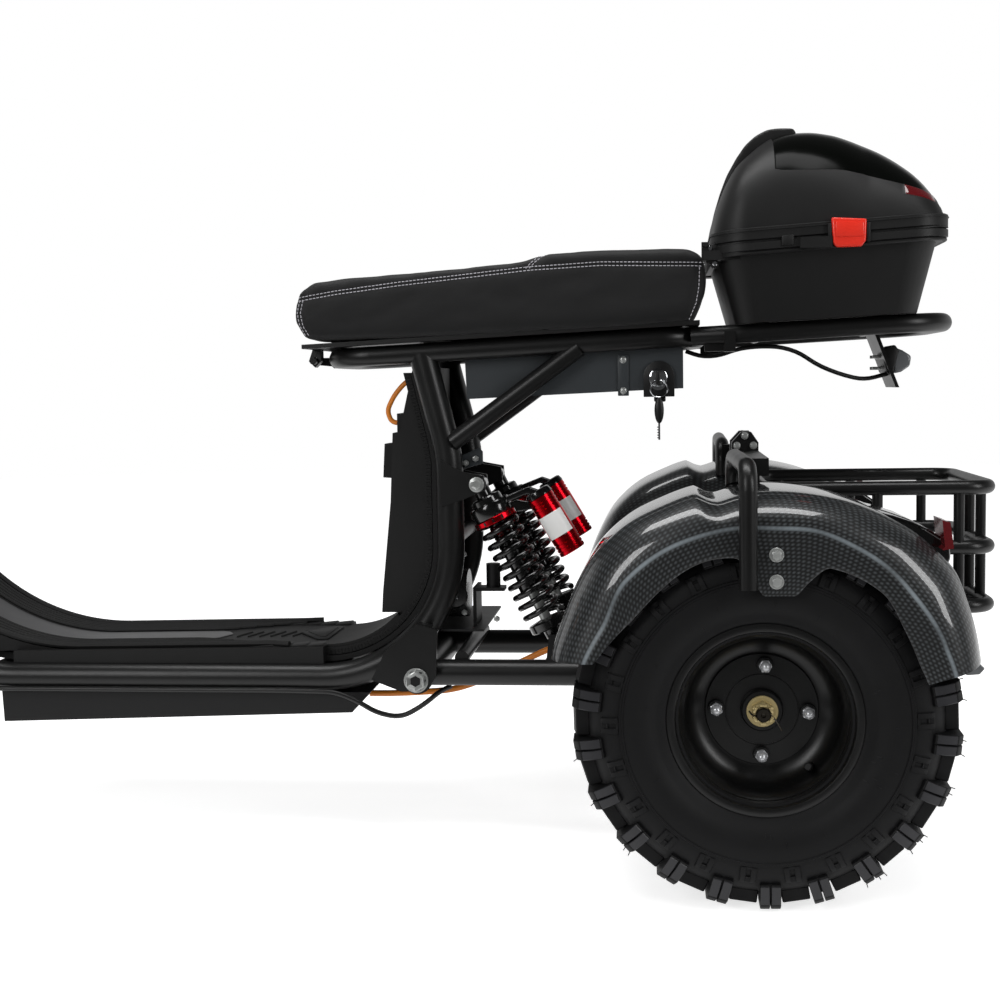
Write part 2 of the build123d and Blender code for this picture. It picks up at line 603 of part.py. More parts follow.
# ---------------------------------------------------------------- rear fenders and their arches
fender_half = TYRE_WIDTH / 2 + FENDER_SIDE_GAP + FENDER_WALL
fender_out = TRACK / 2 + fender_half
fender_in = TRACK / 2 - fender_half
crown = [(-266, 216), (-250, 290), (-222, 388), (-133, 468), (-17, 496), (132, 476), (216, 410), (248, 312),
         (252, 270)]
fender_foot_z = 180.0
skirt_cut = [(-300, 180), (-212, 287), (-191, 310), (-144, 362), (-75, 418), (-35, 424), (-11, 391), (-2, 380),
             (32, 380), (49, 397), (71, 412), (127, 385), (155, 339), (172, 299), (178, 286), (300, 286),
             (300, 180)]
inner_arch_r = 172.0
lip = [(241, 306), (246, 286), (262, 273), (268, 276), (254, 290), (250, 306)]


def fender_block(inset):
    """The fender as a filled block with rounded shoulders, or with an inset what is inside it."""
    outline = []
    for x, z in crown:
        share = 1 - inset / (Vector(x, z - axle_z).length)
        outline.append((x * share, axle_z + (z - axle_z) * share))
    with BuildPart() as body:
        with BuildSketch(SIDE):
            with BuildLine():
                top = Spline(*outline)
                Polyline(top @ 1, (outline[-1][0], fender_foot_z), (outline[0][0], fender_foot_z), top @ 0)
            make_face()
        extrude(amount=fender_half - inset, both=True)
        fillet(body.edges().filter_by(GeomType.BSPLINE), radius=FENDER_SHOULDER_R - inset)
    return body.part


with BuildPart() as left_fender:
    add(fender_block(0))
    add(fender_block(FENDER_WALL), mode=Mode.SUBTRACT)
    add(block(-300, 300, -fender_half + 1, fender_half - 1, fender_foot_z - 1, fender_foot_z + 8),
        mode=Mode.SUBTRACT)
    add(slab(skirt_cut, -fender_half - 1, -fender_half + FENDER_SHOULDER_R), mode=Mode.SUBTRACT)
    with BuildSketch(side_plane(fender_half + 1)):
        with BuildLine():
            over = CenterArc((0, axle_z), inner_arch_r, 0, 180)
            Polyline(over @ 1, (-inner_arch_r, 100), (300, 100), (300, axle_z + 40), (over @ 0) + (0, 40), over @ 0)
        make_face()
    extrude(amount=FENDER_SHOULDER_R, mode=Mode.SUBTRACT)
    with BuildSketch(cross_plane(-300)):
        Polygon((-fender_half - 1, 287), (fender_half + 1, 222), (fender_half + 1, 100),
                (-fender_half - 1, 100), align=None)
    extrude(amount=200, mode=Mode.SUBTRACT)
    add(block(150, 300, -fender_half - 1, fender_half + 1, 100, 284), mode=Mode.SUBTRACT)
    add(slab(lip, -fender_half + 12, fender_half - 12))
    add(slab([(108, 470), (122, 482), (150, 484), (200, 470), (204, 432), (196, 424)], -104, -36))
    add(fender_block(FENDER_WALL), mode=Mode.SUBTRACT)
left_fender_solid = left_fender.part.moved(Location((0, -TRACK / 2, 0)))
for side, sign in SIDES.items():
    with BuildPart() as fender:
        add(left_fender_solid if sign < 0 else left_fender_solid.mirror(Plane.XZ))
    fender.part.label = f"rear_fender_{side}"
    pieces[f"rear_fender_{side}"] = fender

both_fenders = [pieces["rear_fender_left"].part, pieces["rear_fender_right"].part]
arch_y = fender_out + ARCH_R
arch_x, arch_foot_z, arch_in_y = -21.0, 389.0, 182.0
bar_low, bar_high = CROSSBAR_Z - CROSSBAR_SIZE / 2, CROSSBAR_Z + CROSSBAR_SIZE / 2
with BuildPart() as arches:
    for sign in SIDES.values():
        add(bent_bar([(arch_x, sign * arch_y, arch_foot_z), (arch_x, sign * arch_y, bar_high),
                      (arch_x - 4, sign * arch_in_y, bar_high), (arch_x - 4, sign * arch_in_y, 480)],
                     26, ARCH_R))
        near, far = span(sign, arch_in_y - 14, arch_in_y + 14)
        add(block(arch_x - 5, -6, near, far, bar_low, bar_high))
        near, far = span(sign, 78, 102)
        add(block(-14, 14, near, far, 250, bar_low))
        near, far = span(sign, 20, 34)
        add(slab([(-20, 540), (-7, 554), (7, 554), (17, 539), (17, bar_low), (-20, bar_low)], near, far))
    add(block(-7, 16, -250, 250, bar_low, bar_high))
    add([*both_fenders, basket.part, basket_bars.part, rear_axle.part, swing_arm.part],
        mode=Mode.SUBTRACT)
arches.part.label = "fender_arches"

with BuildPart() as fender_lamps:
    for sign in SIDES.values():
        near, far = span(sign, TRACK / 2 + 42, TRACK / 2 + 98)
        add(slab([(198, 464), (210, 460), (214, 430), (201, 428)], near, far))
    add(both_fenders, mode=Mode.SUBTRACT)
fender_lamps.part.label = "fender_lamps"

# ---------------------------------------------------------------- top case
seam_front, seam_rear = 801.0, 817.0
case_front, case_rear = -50.0, 245.0
flange_deep = 16.0
seam_slope = (seam_rear - seam_front) / (case_rear - case_front)
case_mid_x = (case_front + case_rear) / 2
rack_clear = 0.2


def seam_z(x):
    """Height of the joint between the case and its lid at x."""
    return seam_front + (x - case_front) * seam_slope


seam_plane = Plane(origin=(rear_x + case_mid_x, 0, seam_z(case_mid_x)), x_dir=(1, 0, seam_slope),
                   z_dir=(-seam_slope, 0, 1))
floor_x = 99.5
floor_plane = Plane(origin=(rear_x + floor_x, 0, rack_z(floor_x) + RACK_R + rack_clear),
                    x_dir=(1, 0, rack_slope), z_dir=(-rack_slope, 0, 1))
floor_size, rim_size = (237.0, 300.0), (281.0, 356.0)


def tub(inset, floor_rise, rim_rise):
    """The case's tapered body between its floor and its rim, moved in by inset."""
    with BuildPart() as body:
        with BuildSketch(floor_plane.offset(floor_rise)):
            RectangleRounded(floor_size[0] - 2 * inset, floor_size[1] - 2 * inset, CASE_CORNER_R - 12 - inset)
        with BuildSketch(seam_plane.offset(rim_rise)):
            RectangleRounded(rim_size[0] - 2 * inset, rim_size[1] - 2 * inset, CASE_CORNER_R - inset)
        loft()
    return body.part


lid_hinge_x = case_front - 9
lid_hinge_z = seam_z(case_front) + 2
knuckle_y, knuckle_half, lid_pin_r = 162.0, 6.0, 3.0
latch_x, latch_half = 80.0, 20.0
with BuildPart() as case_base:
    add(tub(0, 0, -flange_deep))
    with BuildSketch(seam_plane.offset(-flange_deep)):
        RectangleRounded(case_rear - case_front, 2 * CASE_HALF, CASE_CORNER_R)
    extrude(amount=flange_deep)
    for sign in SIDES.values():
        near, far = span(sign, knuckle_y - 15, knuckle_y + 15)
        add(block(lid_hinge_x - 4, case_front + 34, near, far, lid_hinge_z - 20, lid_hinge_z - 8))
    add(tub(CASE_WALL, 5, 5), mode=Mode.SUBTRACT)
    for sign in SIDES.values():
        y = sign * knuckle_y
        add(pillar((lid_hinge_x, y - 16, lid_hinge_z), (lid_hinge_x, y + 16, lid_hinge_z), lid_pin_r))
        add(block(lid_hinge_x - 5, lid_hinge_x + 4, y - knuckle_half, y + knuckle_half, lid_hinge_z - 20,
                  lid_hinge_z + 4))
        near, far = span(sign, CASE_HALF - 1, CASE_HALF + 9)
        add(block(latch_x - latch_half, latch_x + latch_half, near, far, seam_z(latch_x) - 15,
                  seam_z(latch_x) - 1))
case_base.part.label = "case_base"

lid_gap = 0.5
lid_top = [(-44, 848), (-22, 904), (14, 938), (78, 954), (146, 942), (208, 904), (239, 856)]


def lid_block(inset):
    """The lid as a filled dome over the seam, or with an inset what is inside it."""
    low = 20 if inset else -lid_gap
    start = (case_front + inset, seam_z(case_front) - low)
    end = (case_rear - inset, seam_z(case_rear) - low)
    middle = [(case_mid_x + (x - case_mid_x) * (1 - inset / 140), z - inset) for x, z in lid_top]
    with BuildPart() as dome:
        with BuildSketch(SIDE):
            with BuildLine():
                Spline(start, *middle, end)
                Line(end, start)
            make_face()
        extrude(amount=CASE_HALF - inset, both=True)
        fillet(dome.edges().filter_by(GeomType.BSPLINE), radius=CASE_CORNER_R - inset)
    return dome.part


with BuildPart() as case_lid:
    add(lid_block(0))
    add(lid_block(CASE_WALL), mode=Mode.SUBTRACT)
    for sign in SIDES.values():
        for inward in (-1, 1):
            y = sign * knuckle_y + inward * 11
            add(block(lid_hinge_x, case_front + 40, y - 4, y + 4, lid_hinge_z + 1, lid_hinge_z + 7))
            add(pillar((lid_hinge_x, y - 4, lid_hinge_z), (lid_hinge_x, y + 4, lid_hinge_z), 6.5))
        y = sign * knuckle_y
        add(pillar((lid_hinge_x, y - 20, lid_hinge_z), (lid_hinge_x, y + 20, lid_hinge_z),
                   lid_pin_r + PIN_GAP), mode=Mode.SUBTRACT)
case_lid.part.label = "case_lid"

pad_half, rib_count = 96.0, 9
pad_outline = [(-46, 826), (-42, 858), (-25, 913), (2, 950), (30, 967), (61, 967), (66, 950), (20, 935),
               (-4, 900), (-28, 858), (-34, 826)]
with BuildPart() as pad:
    add(slab(pad_outline, -pad_half, pad_half))
    rib_pitch = 2 * pad_half / rib_count
    for index in range(1, rib_count):
        y = -pad_half + index * rib_pitch
        add(slab([(-60, 840), (-55, 913), (-26, 958), (-3, 938), (-29, 908), (-43, 840)], y - 1.5, y + 1.5),
            mode=Mode.SUBTRACT)
    add(lid_block(0), mode=Mode.SUBTRACT)
pad.part.label = "backrest_pad"

# ---------------------------------------------------------------- tail light
with BuildPart() as tail_light:
    add(slab([(188, 668), (222, 674), (236, 664), (222, 632), (204, 626)], -38, 38))
    add(rack.part, mode=Mode.SUBTRACT)
tail_light.part.label = "tail_light"

# ---------------------------------------------------------------- wheels
tyre_half = TYRE_WIDTH / 2
rim_half = RIM_WIDTH / 2
flange_thick = 5.0
bead_half = rim_half - flange_thick - 2
carcass_r = WHEEL_RADIUS - LUG_DEPTH
half_pitch = 180 / TREAD_PITCHES
side_profile = [(bead_half, BEAD_RADIUS), (bead_half + 2, RIM_LIP_RADIUS + 2), (tyre_half, 152),
                (tyre_half - 6, 190), (78, carcass_r)]
carcass = [(-out, radius) for out, radius in side_profile]
carcass += reversed(side_profile)
shoulder_lug = [(tyre_half, 178), (tyre_half - 18, WHEEL_RADIUS), (58, WHEEL_RADIUS), (58, carcass_r - 4)]
centre_lug = [(-36, carcass_r - 4), (-36, WHEEL_RADIUS), (36, WHEEL_RADIUS), (36, carcass_r - 4)]


def tread_bar(profile, mirror_side, turn):
    """A lug across the top of the tyre, turned about the axle."""
    with BuildPart() as bar:
        with BuildSketch(wheel_plane(rear_x, 0, 1)):
            Polygon(*[(mirror_side * out, radius) for out, radius in profile], align=None)
        extrude(amount=LUG_LENGTH / 2, both=True)
    return bar.part.rotate(wheel_axis(rear_x), turn)


with BuildPart() as sector:
    with BuildSketch(wheel_plane(rear_x, 0, 1)):
        Polygon(*carcass, align=None)
    extrude(amount=carcass_r * tan(radians(half_pitch)), both=True)
    with BuildSketch(Plane(origin=(rear_x, tyre_half, axle_z), x_dir=(1, 0, 0), z_dir=(0, -1, 0))):
        reach = WHEEL_RADIUS * tan(radians(half_pitch))
        Polygon((0, 0), (reach, WHEEL_RADIUS), (-reach, WHEEL_RADIUS), align=None)
    extrude(amount=TYRE_WIDTH, mode=Mode.INTERSECT)

with BuildPart() as tyre_body:
    for index in range(TREAD_PITCHES):
        turn = 2 * half_pitch * index
        add([sector.part.rotate(wheel_axis(rear_x), turn), tread_bar(shoulder_lug, 1, turn),
             tread_bar(shoulder_lug, -1, turn + half_pitch), tread_bar(centre_lug, 1, turn + half_pitch)])

lip_in = RIM_LIP_RADIUS - 6
barrel_in = BEAD_RADIUS - RIM_WALL
disc_thick, disc_edge_r = 8.0, 70.0
rim_edge = [(-rim_half, RIM_LIP_RADIUS), (-rim_half + flange_thick, RIM_LIP_RADIUS), (-bead_half, BEAD_RADIUS),
            (bead_half, BEAD_RADIUS), (rim_half - flange_thick, RIM_LIP_RADIUS), (rim_half, RIM_LIP_RADIUS),
            (rim_half, lip_in), (bead_half + 2, barrel_in)]
rim_profile = rim_edge + [
    (HUB_DISC_OUT + 6, barrel_in), (HUB_DISC_OUT, disc_edge_r), (HUB_DISC_OUT, 0), (-30, 0),
    (-30, HUB_BOSS_R), (HUB_DISC_OUT - disc_thick, HUB_BOSS_R), (HUB_DISC_OUT - disc_thick, disc_edge_r),
    (HUB_DISC_OUT - 2, barrel_in), (-bead_half - 2, barrel_in), (-rim_half, lip_in),
]
cap_profile = [(HUB_DISC_OUT, 0), (HUB_DISC_OUT, 26), (HUB_DISC_OUT + 12, 26), (HUB_DISC_OUT + 12, 15),
               (HUB_DISC_OUT + 34, 15), (HUB_DISC_OUT + 34, 0)]
for side, sign in SIDES.items():
    y = sign * TRACK / 2
    with BuildPart() as tyre:
        add(tyre_body.part.moved(Location((0, y, 0))) if sign > 0 else
            tyre_body.part.mirror(Plane.XZ).moved(Location((0, y, 0))))
    tyre.part.label = f"rear_tyre_{side}"
    with BuildPart() as rim:
        add(turned(rim_profile, rear_x, y, sign))
        add(turned(cap_profile, rear_x, y, sign))
        with BuildSketch(Plane(origin=(rear_x, y + sign * HUB_DISC_OUT, axle_z), z_dir=(0, sign, 0))):
            with PolarLocations(BOLT_CIRCLE_RADIUS, 4):
                RegularPolygon(WHEEL_NUT / 2, 6, major_radius=False)
        extrude(amount=WHEEL_NUT)
    rim.part.label = f"rear_rim_{side}"
    pieces[f"rear_tyre_{side}"] = tyre
    pieces[f"rear_rim_{side}"] = rim

with BuildPart() as front_tyre:
    add(tyre_body.part.moved(Location((-WHEELBASE, 0, 0))))
front_tyre.part.label = "front_tyre"

hub_bore = FRONT_AXLE_R + 2
front_hub_half, front_hub_r, brake_disc_r, brake_disc_out = 70.0, 40.0, 95.0, 126.0
front_rim_profile = rim_edge + [
    (12, barrel_in), (6, front_hub_r), (front_hub_half, front_hub_r), (front_hub_half, hub_bore),
    (-front_hub_half, hub_bore), (-front_hub_half, front_hub_r), (-6, front_hub_r), (-12, barrel_in),
    (-bead_half - 2, barrel_in), (-rim_half, lip_in),
]
with BuildPart() as front_rim:
    add(turned(front_rim_profile, front_x, 0, -1))
    add(turned([(front_hub_half - 1, hub_bore), (front_hub_half - 1, front_hub_r),
                (brake_disc_out, front_hub_r), (brake_disc_out, brake_disc_r),
                (brake_disc_out + 4, brake_disc_r), (brake_disc_out + 4, hub_bore)], front_x, 0, -1))
front_rim.part.label = "front_rim"

# ---------------------------------------------------------------- fork and steering
clamp_low, clamp_low_thick = 302.0, 28.0
clamp_high, clamp_high_thick = 488.0, 22.0
stanchion_top = clamp_high + clamp_high_thick + 10
slider_top = 250.0
axle_half = FORK_HALF + 32
with BuildPart() as fork_legs:
    for sign in SIDES.values():
        y = sign * FORK_HALF
        add(pillar((-FORK_OFFSET, y, axle_s - 30), (-FORK_OFFSET, y, slider_top), SLIDER_R, STEER))
        add(pillar((-FORK_OFFSET, y, slider_top - 10), (-FORK_OFFSET, y, stanchion_top), STANCHION_R, STEER))
    add(pillar((-FORK_OFFSET, -axle_half, axle_s), (-FORK_OFFSET, axle_half, axle_s), FRONT_AXLE_R, STEER))
fork_legs.part.label = "fork_legs"

bar_low_s, riser_y, riser_high = 556.0, 55.0, 58.0
bar_points = [(0, 0, bar_low_s), (0, 95, bar_low_s), (-6, 192, 742), (-2, 226, 800), (22, 370, 796)]
with BuildPart() as handlebar:
    add(bent_bar([(p, -y, s) for p, y, s in reversed(bar_points[1:])] + bar_points[1:],
                 [40, 60, 45, 45, 60, 40], BAR_R, STEER))
handlebar.part.label = "handlebar"

clamp_r = SLIDER_R + 2
clamp_outline = [(-66, -FORK_HALF), (-66, FORK_HALF), (-16, FORK_HALF + 2), (30, 28), (30, -28),
                 (-16, -FORK_HALF - 2)]
with BuildPart() as clamps:
    for low, thick in ((clamp_low, clamp_low_thick), (clamp_high, clamp_high_thick)):
        with BuildSketch(STEER.offset(low)):
            Polygon(*clamp_outline, align=None)
            with Locations((-FORK_OFFSET, -FORK_HALF), (-FORK_OFFSET, FORK_HALF)):
                Circle(clamp_r)
        extrude(amount=thick)
    with BuildSketch(STEER.offset(clamp_low)):
        Circle(STEM_R)
    extrude(amount=clamp_high + clamp_high_thick - clamp_low)
    for sign in SIDES.values():
        with BuildSketch(STEER.offset(clamp_high + clamp_high_thick)):
            with Locations((0, sign * riser_y)):
                Rectangle(30, 26)
        extrude(amount=riser_high)
    add([fork_legs.part, handlebar.part], mode=Mode.SUBTRACT)
clamps.part.label = "fork_clamps"

bar_end = Vector(*bar_points[-1])
grip_start = bar_end - (bar_end - Vector(*bar_points[-2])).normalized() * 120
grip_stop = bar_end + Vector(3, 3, 0)
with BuildPart() as grips:
    for sign in SIDES.values():
        with BuildLine(STEER) as grip_line:
            Line((grip_start.X, sign * grip_start.Y, grip_start.Z), (grip_stop.X, sign * grip_stop.Y, grip_stop.Z))
        with BuildSketch(Plane(origin=grip_line.line @ 0, z_dir=grip_line.line % 0)):
            Circle(GRIP_R)
        sweep(path=grip_line.line)
    add(handlebar.part, mode=Mode.SUBTRACT)
grips.part.label = "grips"

lever_r = 5.0
with BuildPart() as levers:
    for sign in SIDES.values():
        add(bent_bar([(-4, sign * 226, 792), (-46, sign * 250, 796), (-36, sign * 362, 786)], 25, lever_r, STEER))
    add(handlebar.part, mode=Mode.SUBTRACT)
levers.part.label = "brake_levers"

mirror_r, mirror_thick, mirror_y, mirror_s = 52.0, 14.0, 330.0, 906.0
with BuildPart() as mirrors:
    for sign in SIDES.values():
        add(bent_bar([(1, sign * 243, 797), (-4, sign * 248, 858), (-12, sign * mirror_y, mirror_s)],
                     30, 5, STEER))
        with BuildSketch(Plane(origin=STEER.from_local_coords(Vector(-18, sign * mirror_y, mirror_s)),
                               z_dir=STEER.x_dir)):
            Circle(mirror_r)
        extrude(amount=mirror_thick)
    add(handlebar.part, mode=Mode.SUBTRACT)
mirrors.part.label = "mirrors"

with BuildPart() as display:
    with BuildSketch(STEER.offset(bar_low_s + BAR_R)):
        with Locations((4, 0)):
            RectangleRounded(60, 84, 14)
    extrude(amount=24)
    add(handlebar.part, mode=Mode.SUBTRACT)
display.part.label = "display"

lamp_r, lamp_back_r, lamp_deep, lamp_ring = 84.0, 52.0, 52.0, 34.0
lamp_plane = Plane(origin=STEER.from_local_coords(Vector(-58, 0, 412)), x_dir=(0, 1, 0), z_dir=-STEER.x_dir)
with BuildPart() as headlight:
    with BuildSketch(lamp_plane):
        Circle(lamp_back_r)
    with BuildSketch(lamp_plane.offset(lamp_deep)):
        Circle(lamp_r - 2)
    loft()
    with BuildSketch(lamp_plane.offset(lamp_deep)):
        Circle(lamp_r)
    extrude(amount=lamp_ring)
    for sign in SIDES.values():
        near, far = span(sign, lamp_r - 14, FORK_HALF)
        with BuildSketch(STEER_SIDE.offset(-far)):
            Polygon((-110, 396), (-110, 428), (-30, 428), (-30, 396), align=None)
        extrude(amount=far - near)
    with BuildSketch(STEER_SIDE):
        Polygon((-50, 380), (-50, 440), (-20, 440), (-20, 380), align=None)
    extrude(amount=FORK_HALF - 40, both=True, mode=Mode.SUBTRACT)
    add(fork_legs.part, mode=Mode.SUBTRACT)
headlight.part.label = "headlight"

signal_s, signal_near, signal_far = 450.0, 212.0, 256.0
with BuildPart() as turn_signals:
    for sign in SIDES.values():
        add(pillar((-FORK_OFFSET, sign * FORK_HALF, signal_s),
                   (-FORK_OFFSET - 10, sign * (signal_near + 10), signal_s), 6, STEER))
        near, far = span(sign, signal_near, signal_far)
        with BuildSketch(STEER_SIDE.offset(-far)):
            Polygon((-76, signal_s - 16), (-76, signal_s + 16), (-30, signal_s + 12), (-30, signal_s - 12),
                    align=None)
        extrude(amount=far - near)
    add(fork_legs.part, mode=Mode.SUBTRACT)
turn_signals.part.label = "turn_signals"

fender_low, fender_high = WHEEL_RADIUS + 15.4, WHEEL_RADIUS + 18.9
guard_half, guard_start, guard_sweep = 136.0, 165.0, 117
guard_inside = [(-guard_half + 4, fender_low - 10), (-guard_half + 16, fender_low),
                (guard_half - 16, fender_low), (guard_half - 4, fender_low - 10)]
with BuildPart() as front_fender:
    start = radians(guard_start)
    with BuildSketch(Plane(origin=(front_x, 0, axle_z), x_dir=(0, 1, 0), z_dir=(sin(start), 0, -cos(start)))):
        Polygon((-guard_half + 4, fender_low - 29), (-guard_half, fender_low - 29), (-guard_half, fender_high - 11),
                (-guard_half + 14, fender_high), (guard_half - 14, fender_high), (guard_half, fender_high - 11),
                (guard_half, fender_low - 29), (guard_half - 4, fender_low - 29), *reversed(guard_inside),
                align=None)
    revolve(axis=wheel_axis(front_x), revolution_arc=guard_sweep)
    for sign in SIDES.values():
        near, far = span(sign, guard_half - 6, FORK_HALF - 10)
        with BuildSketch(STEER_SIDE.offset(-far)):
            Polygon((-60, 196), (-60, 222), (-20, 222), (-20, 196), align=None)
        extrude(amount=far - near)
    add(turned([(-guard_half + 4, 0), *guard_inside, (guard_half - 4, 0)], front_x, 0, -1), mode=Mode.SUBTRACT)
    add(fork_legs.part, mode=Mode.SUBTRACT)
front_fender.part.label = "front_fender"

caliper_y, caliper_deep, disc_gap = -144.0, 32.0, 2.0
caliper_plane = Plane(origin=(front_x, caliper_y, axle_z), x_dir=(1, 0, 0), z_dir=(0, -1, 0))
with BuildPart() as caliper:
    with BuildSketch(caliper_plane):
        with Locations((86, 30)):
            Rectangle(44, 84)
    extrude(amount=-caliper_deep)
    with BuildSketch(caliper_plane):
        Polygon((0, 40), (90, -10), (90, 66), (40, 90), align=None)
    extrude(amount=-6)
    add(turned([(brake_disc_out - disc_gap, 0), (brake_disc_out - disc_gap, brake_disc_r + 3),
                (brake_disc_out + 4 + disc_gap, brake_disc_r + 3), (brake_disc_out + 4 + disc_gap, 0)],
               front_x, 0, -1), mode=Mode.SUBTRACT)
    add(fork_legs.part, mode=Mode.SUBTRACT)
caliper.part.label = "brake_caliper"

with BuildPart() as front_hose:
    add(bent_bar([(-11, -214, 772), (-18, -214, 716), (-14, -212, 640), (-8, -206, 520), (-8, -203, 400),
                  (-4, -201, 260), (6, -196, 160), (22, -176, 96), (30, caliper_y, 70)],
                 [60, 80, 120, 200, 300, 120, 60], HOSE_R, STEER))
    add([handlebar.part, caliper.part, fork_legs.part, clamps.part], mode=Mode.SUBTRACT)
front_hose.part.label = "front_brake_hose"

# ---------------------------------------------------------------- leads and hoses that the frame holds
hose_y = -FRAME_HALF - 16.5
hose_z = SILL_Z - 16.5
with BuildPart() as black_leads:
    add(lead([(deck_front_x - 20, hose_y, hose_z), (deck_front_x + 90, hose_y - 0.4, hose_z),
              (deck_front_x + 240, hose_y, hose_z - 0.4), (column_start_x - 60, hose_y - 0.4, hose_z),
              (column_start_x + 18, hose_y + 1, hose_z - 2), (-548, hose_y + 3, 187), (-520, -119, 169),
              (-486, -117, 162), (-456, -115, 178), (-430, -112, 199), (-414, -108, 206)], HOSE_R))
    add(lead([(-84, -60, 668), (-62, -60, 660), (-38, -58, 661), (-12, -55, 670), (16, -50, 673),
              (46, -44, 672), (72, -37, 664), (100, -30, 645), (132, -24, 632), (164, -18, 624),
              (196, -14, 632)], LEAD_R))
    add([*both_main_tubes, tail_light.part, rack.part, seat_frame.part, storage_box.part],
        mode=Mode.SUBTRACT)
black_leads.part.label = "black_leads"

with BuildPart() as orange_leads:
    add(lead([(-464, lock_near, 640), (-480, lock_near, 631), (-496, lock_near, 613), (-506, lock_near, 592),
              (-500, lock_near, 576), (-486, lock_near, 574)], LEAD_R + 0.5))
    add(lead([(-60, -40, 240), (-110, -40, 252), (-165, -40, 258), (-222, -40, 259), (-274, -40, 250),
              (-325, -40, 226), (-372, -40, 203), (-420, -40, 186), (-470, -40, 182), (-512, -40, 180),
              (-545, -40, 180)], LEAD_R + 1.5))
    add([battery_case.part, rear_axle.part, swing_arm.part, underdeck_box.part], mode=Mode.SUBTRACT)
orange_leads.part.label = "orange_leads"

# ---------------------------------------------------------------- the finished pieces
finished = [
    *pieces.values(), steering_head, cross_members, seat_frame, rack, deck, leg_shield, rear_trim,
    underdeck_box, battery_case, storage_box, seat_lock, seat_pan, seat, pivot_plates, swing_arm,
    rear_axle, shocks, springs, horn, tray, basket, basket_bars, arches, fender_lamps, case_base, case_lid,
    pad, tail_light, front_tyre, front_rim, fork_legs, handlebar, clamps, grips, levers, mirrors,
    display, headlight, turn_signals, front_fender, caliper, front_hose, black_leads, orange_leads,
]
os.makedirs("parts", exist_ok=True)
for piece in finished:
    export_step(piece.part, f"parts/{piece.part.label}.step")
print(len(finished), "pieces")
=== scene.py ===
"""Looks of an electric three-wheel scooter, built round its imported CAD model."""

import json
import logging
import math
import random
from dataclasses import dataclass
from enum import Enum
from typing import Iterable, Sequence

import bmesh
import bpy
from bmesh.types import BMesh, BMVert
from mathutils import Matrix, Vector, noise
from mathutils.bvhtree import BVHTree


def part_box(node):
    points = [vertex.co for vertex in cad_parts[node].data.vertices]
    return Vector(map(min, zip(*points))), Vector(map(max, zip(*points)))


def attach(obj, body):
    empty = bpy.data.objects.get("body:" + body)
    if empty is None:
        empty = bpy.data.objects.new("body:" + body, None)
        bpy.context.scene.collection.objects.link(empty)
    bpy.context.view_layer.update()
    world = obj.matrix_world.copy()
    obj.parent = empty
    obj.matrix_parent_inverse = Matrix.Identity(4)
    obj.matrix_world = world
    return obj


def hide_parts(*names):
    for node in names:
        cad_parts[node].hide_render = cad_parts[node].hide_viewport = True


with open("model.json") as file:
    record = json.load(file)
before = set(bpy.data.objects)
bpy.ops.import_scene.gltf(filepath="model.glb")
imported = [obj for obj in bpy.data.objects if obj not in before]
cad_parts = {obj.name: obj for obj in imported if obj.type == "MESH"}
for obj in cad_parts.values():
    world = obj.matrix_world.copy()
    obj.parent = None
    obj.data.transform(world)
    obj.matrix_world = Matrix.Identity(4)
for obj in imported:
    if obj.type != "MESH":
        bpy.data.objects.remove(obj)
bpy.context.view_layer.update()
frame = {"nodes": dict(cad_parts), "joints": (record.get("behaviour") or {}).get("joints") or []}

log = logging.getLogger("scooter")

MM = 0.001
Point = tuple[float, float, float]
Pair = tuple[float, float]
Colour = tuple[float, float, float]


def middle(node: str) -> Vector:
    """Middle of a CAD node's box, in metres."""
    low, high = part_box(node)
    return (low + high) / 2


REAR_X = middle("rear_rim_left").x
AXLE_Z = middle("rear_rim_left").z / MM
FRONT_X = (middle("front_rim").x - REAR_X) / MM
TRACK_HALF = abs(middle("rear_tyre_left").y) / MM
TO_ROW = Matrix.Translation((REAR_X, 0, 0)) @ Matrix.Scale(MM, 4)
LEFT: Point = (0, -1, 0)


# ---------------------------------------------------------------- shapes
def as_mesh(part: BMesh, name: str) -> bpy.types.Mesh:
    """Turns a shape into mesh data.

    Args:
        part: The shape, which is used up.
        name: The data's name.

    Returns:
        The mesh data.
    """
    data = bpy.data.meshes.new(name)
    part.to_mesh(data)
    part.free()
    return data


def in_scene(name: str, data: bpy.types.ID) -> bpy.types.Object:
    """Puts data in the scene as an object.

    Args:
        name: The object's name.
        data: Its mesh, lamp or camera data.

    Returns:
        The object.
    """
    made = bpy.data.objects.new(name, data)
    bpy.context.scene.collection.objects.link(made)
    return made


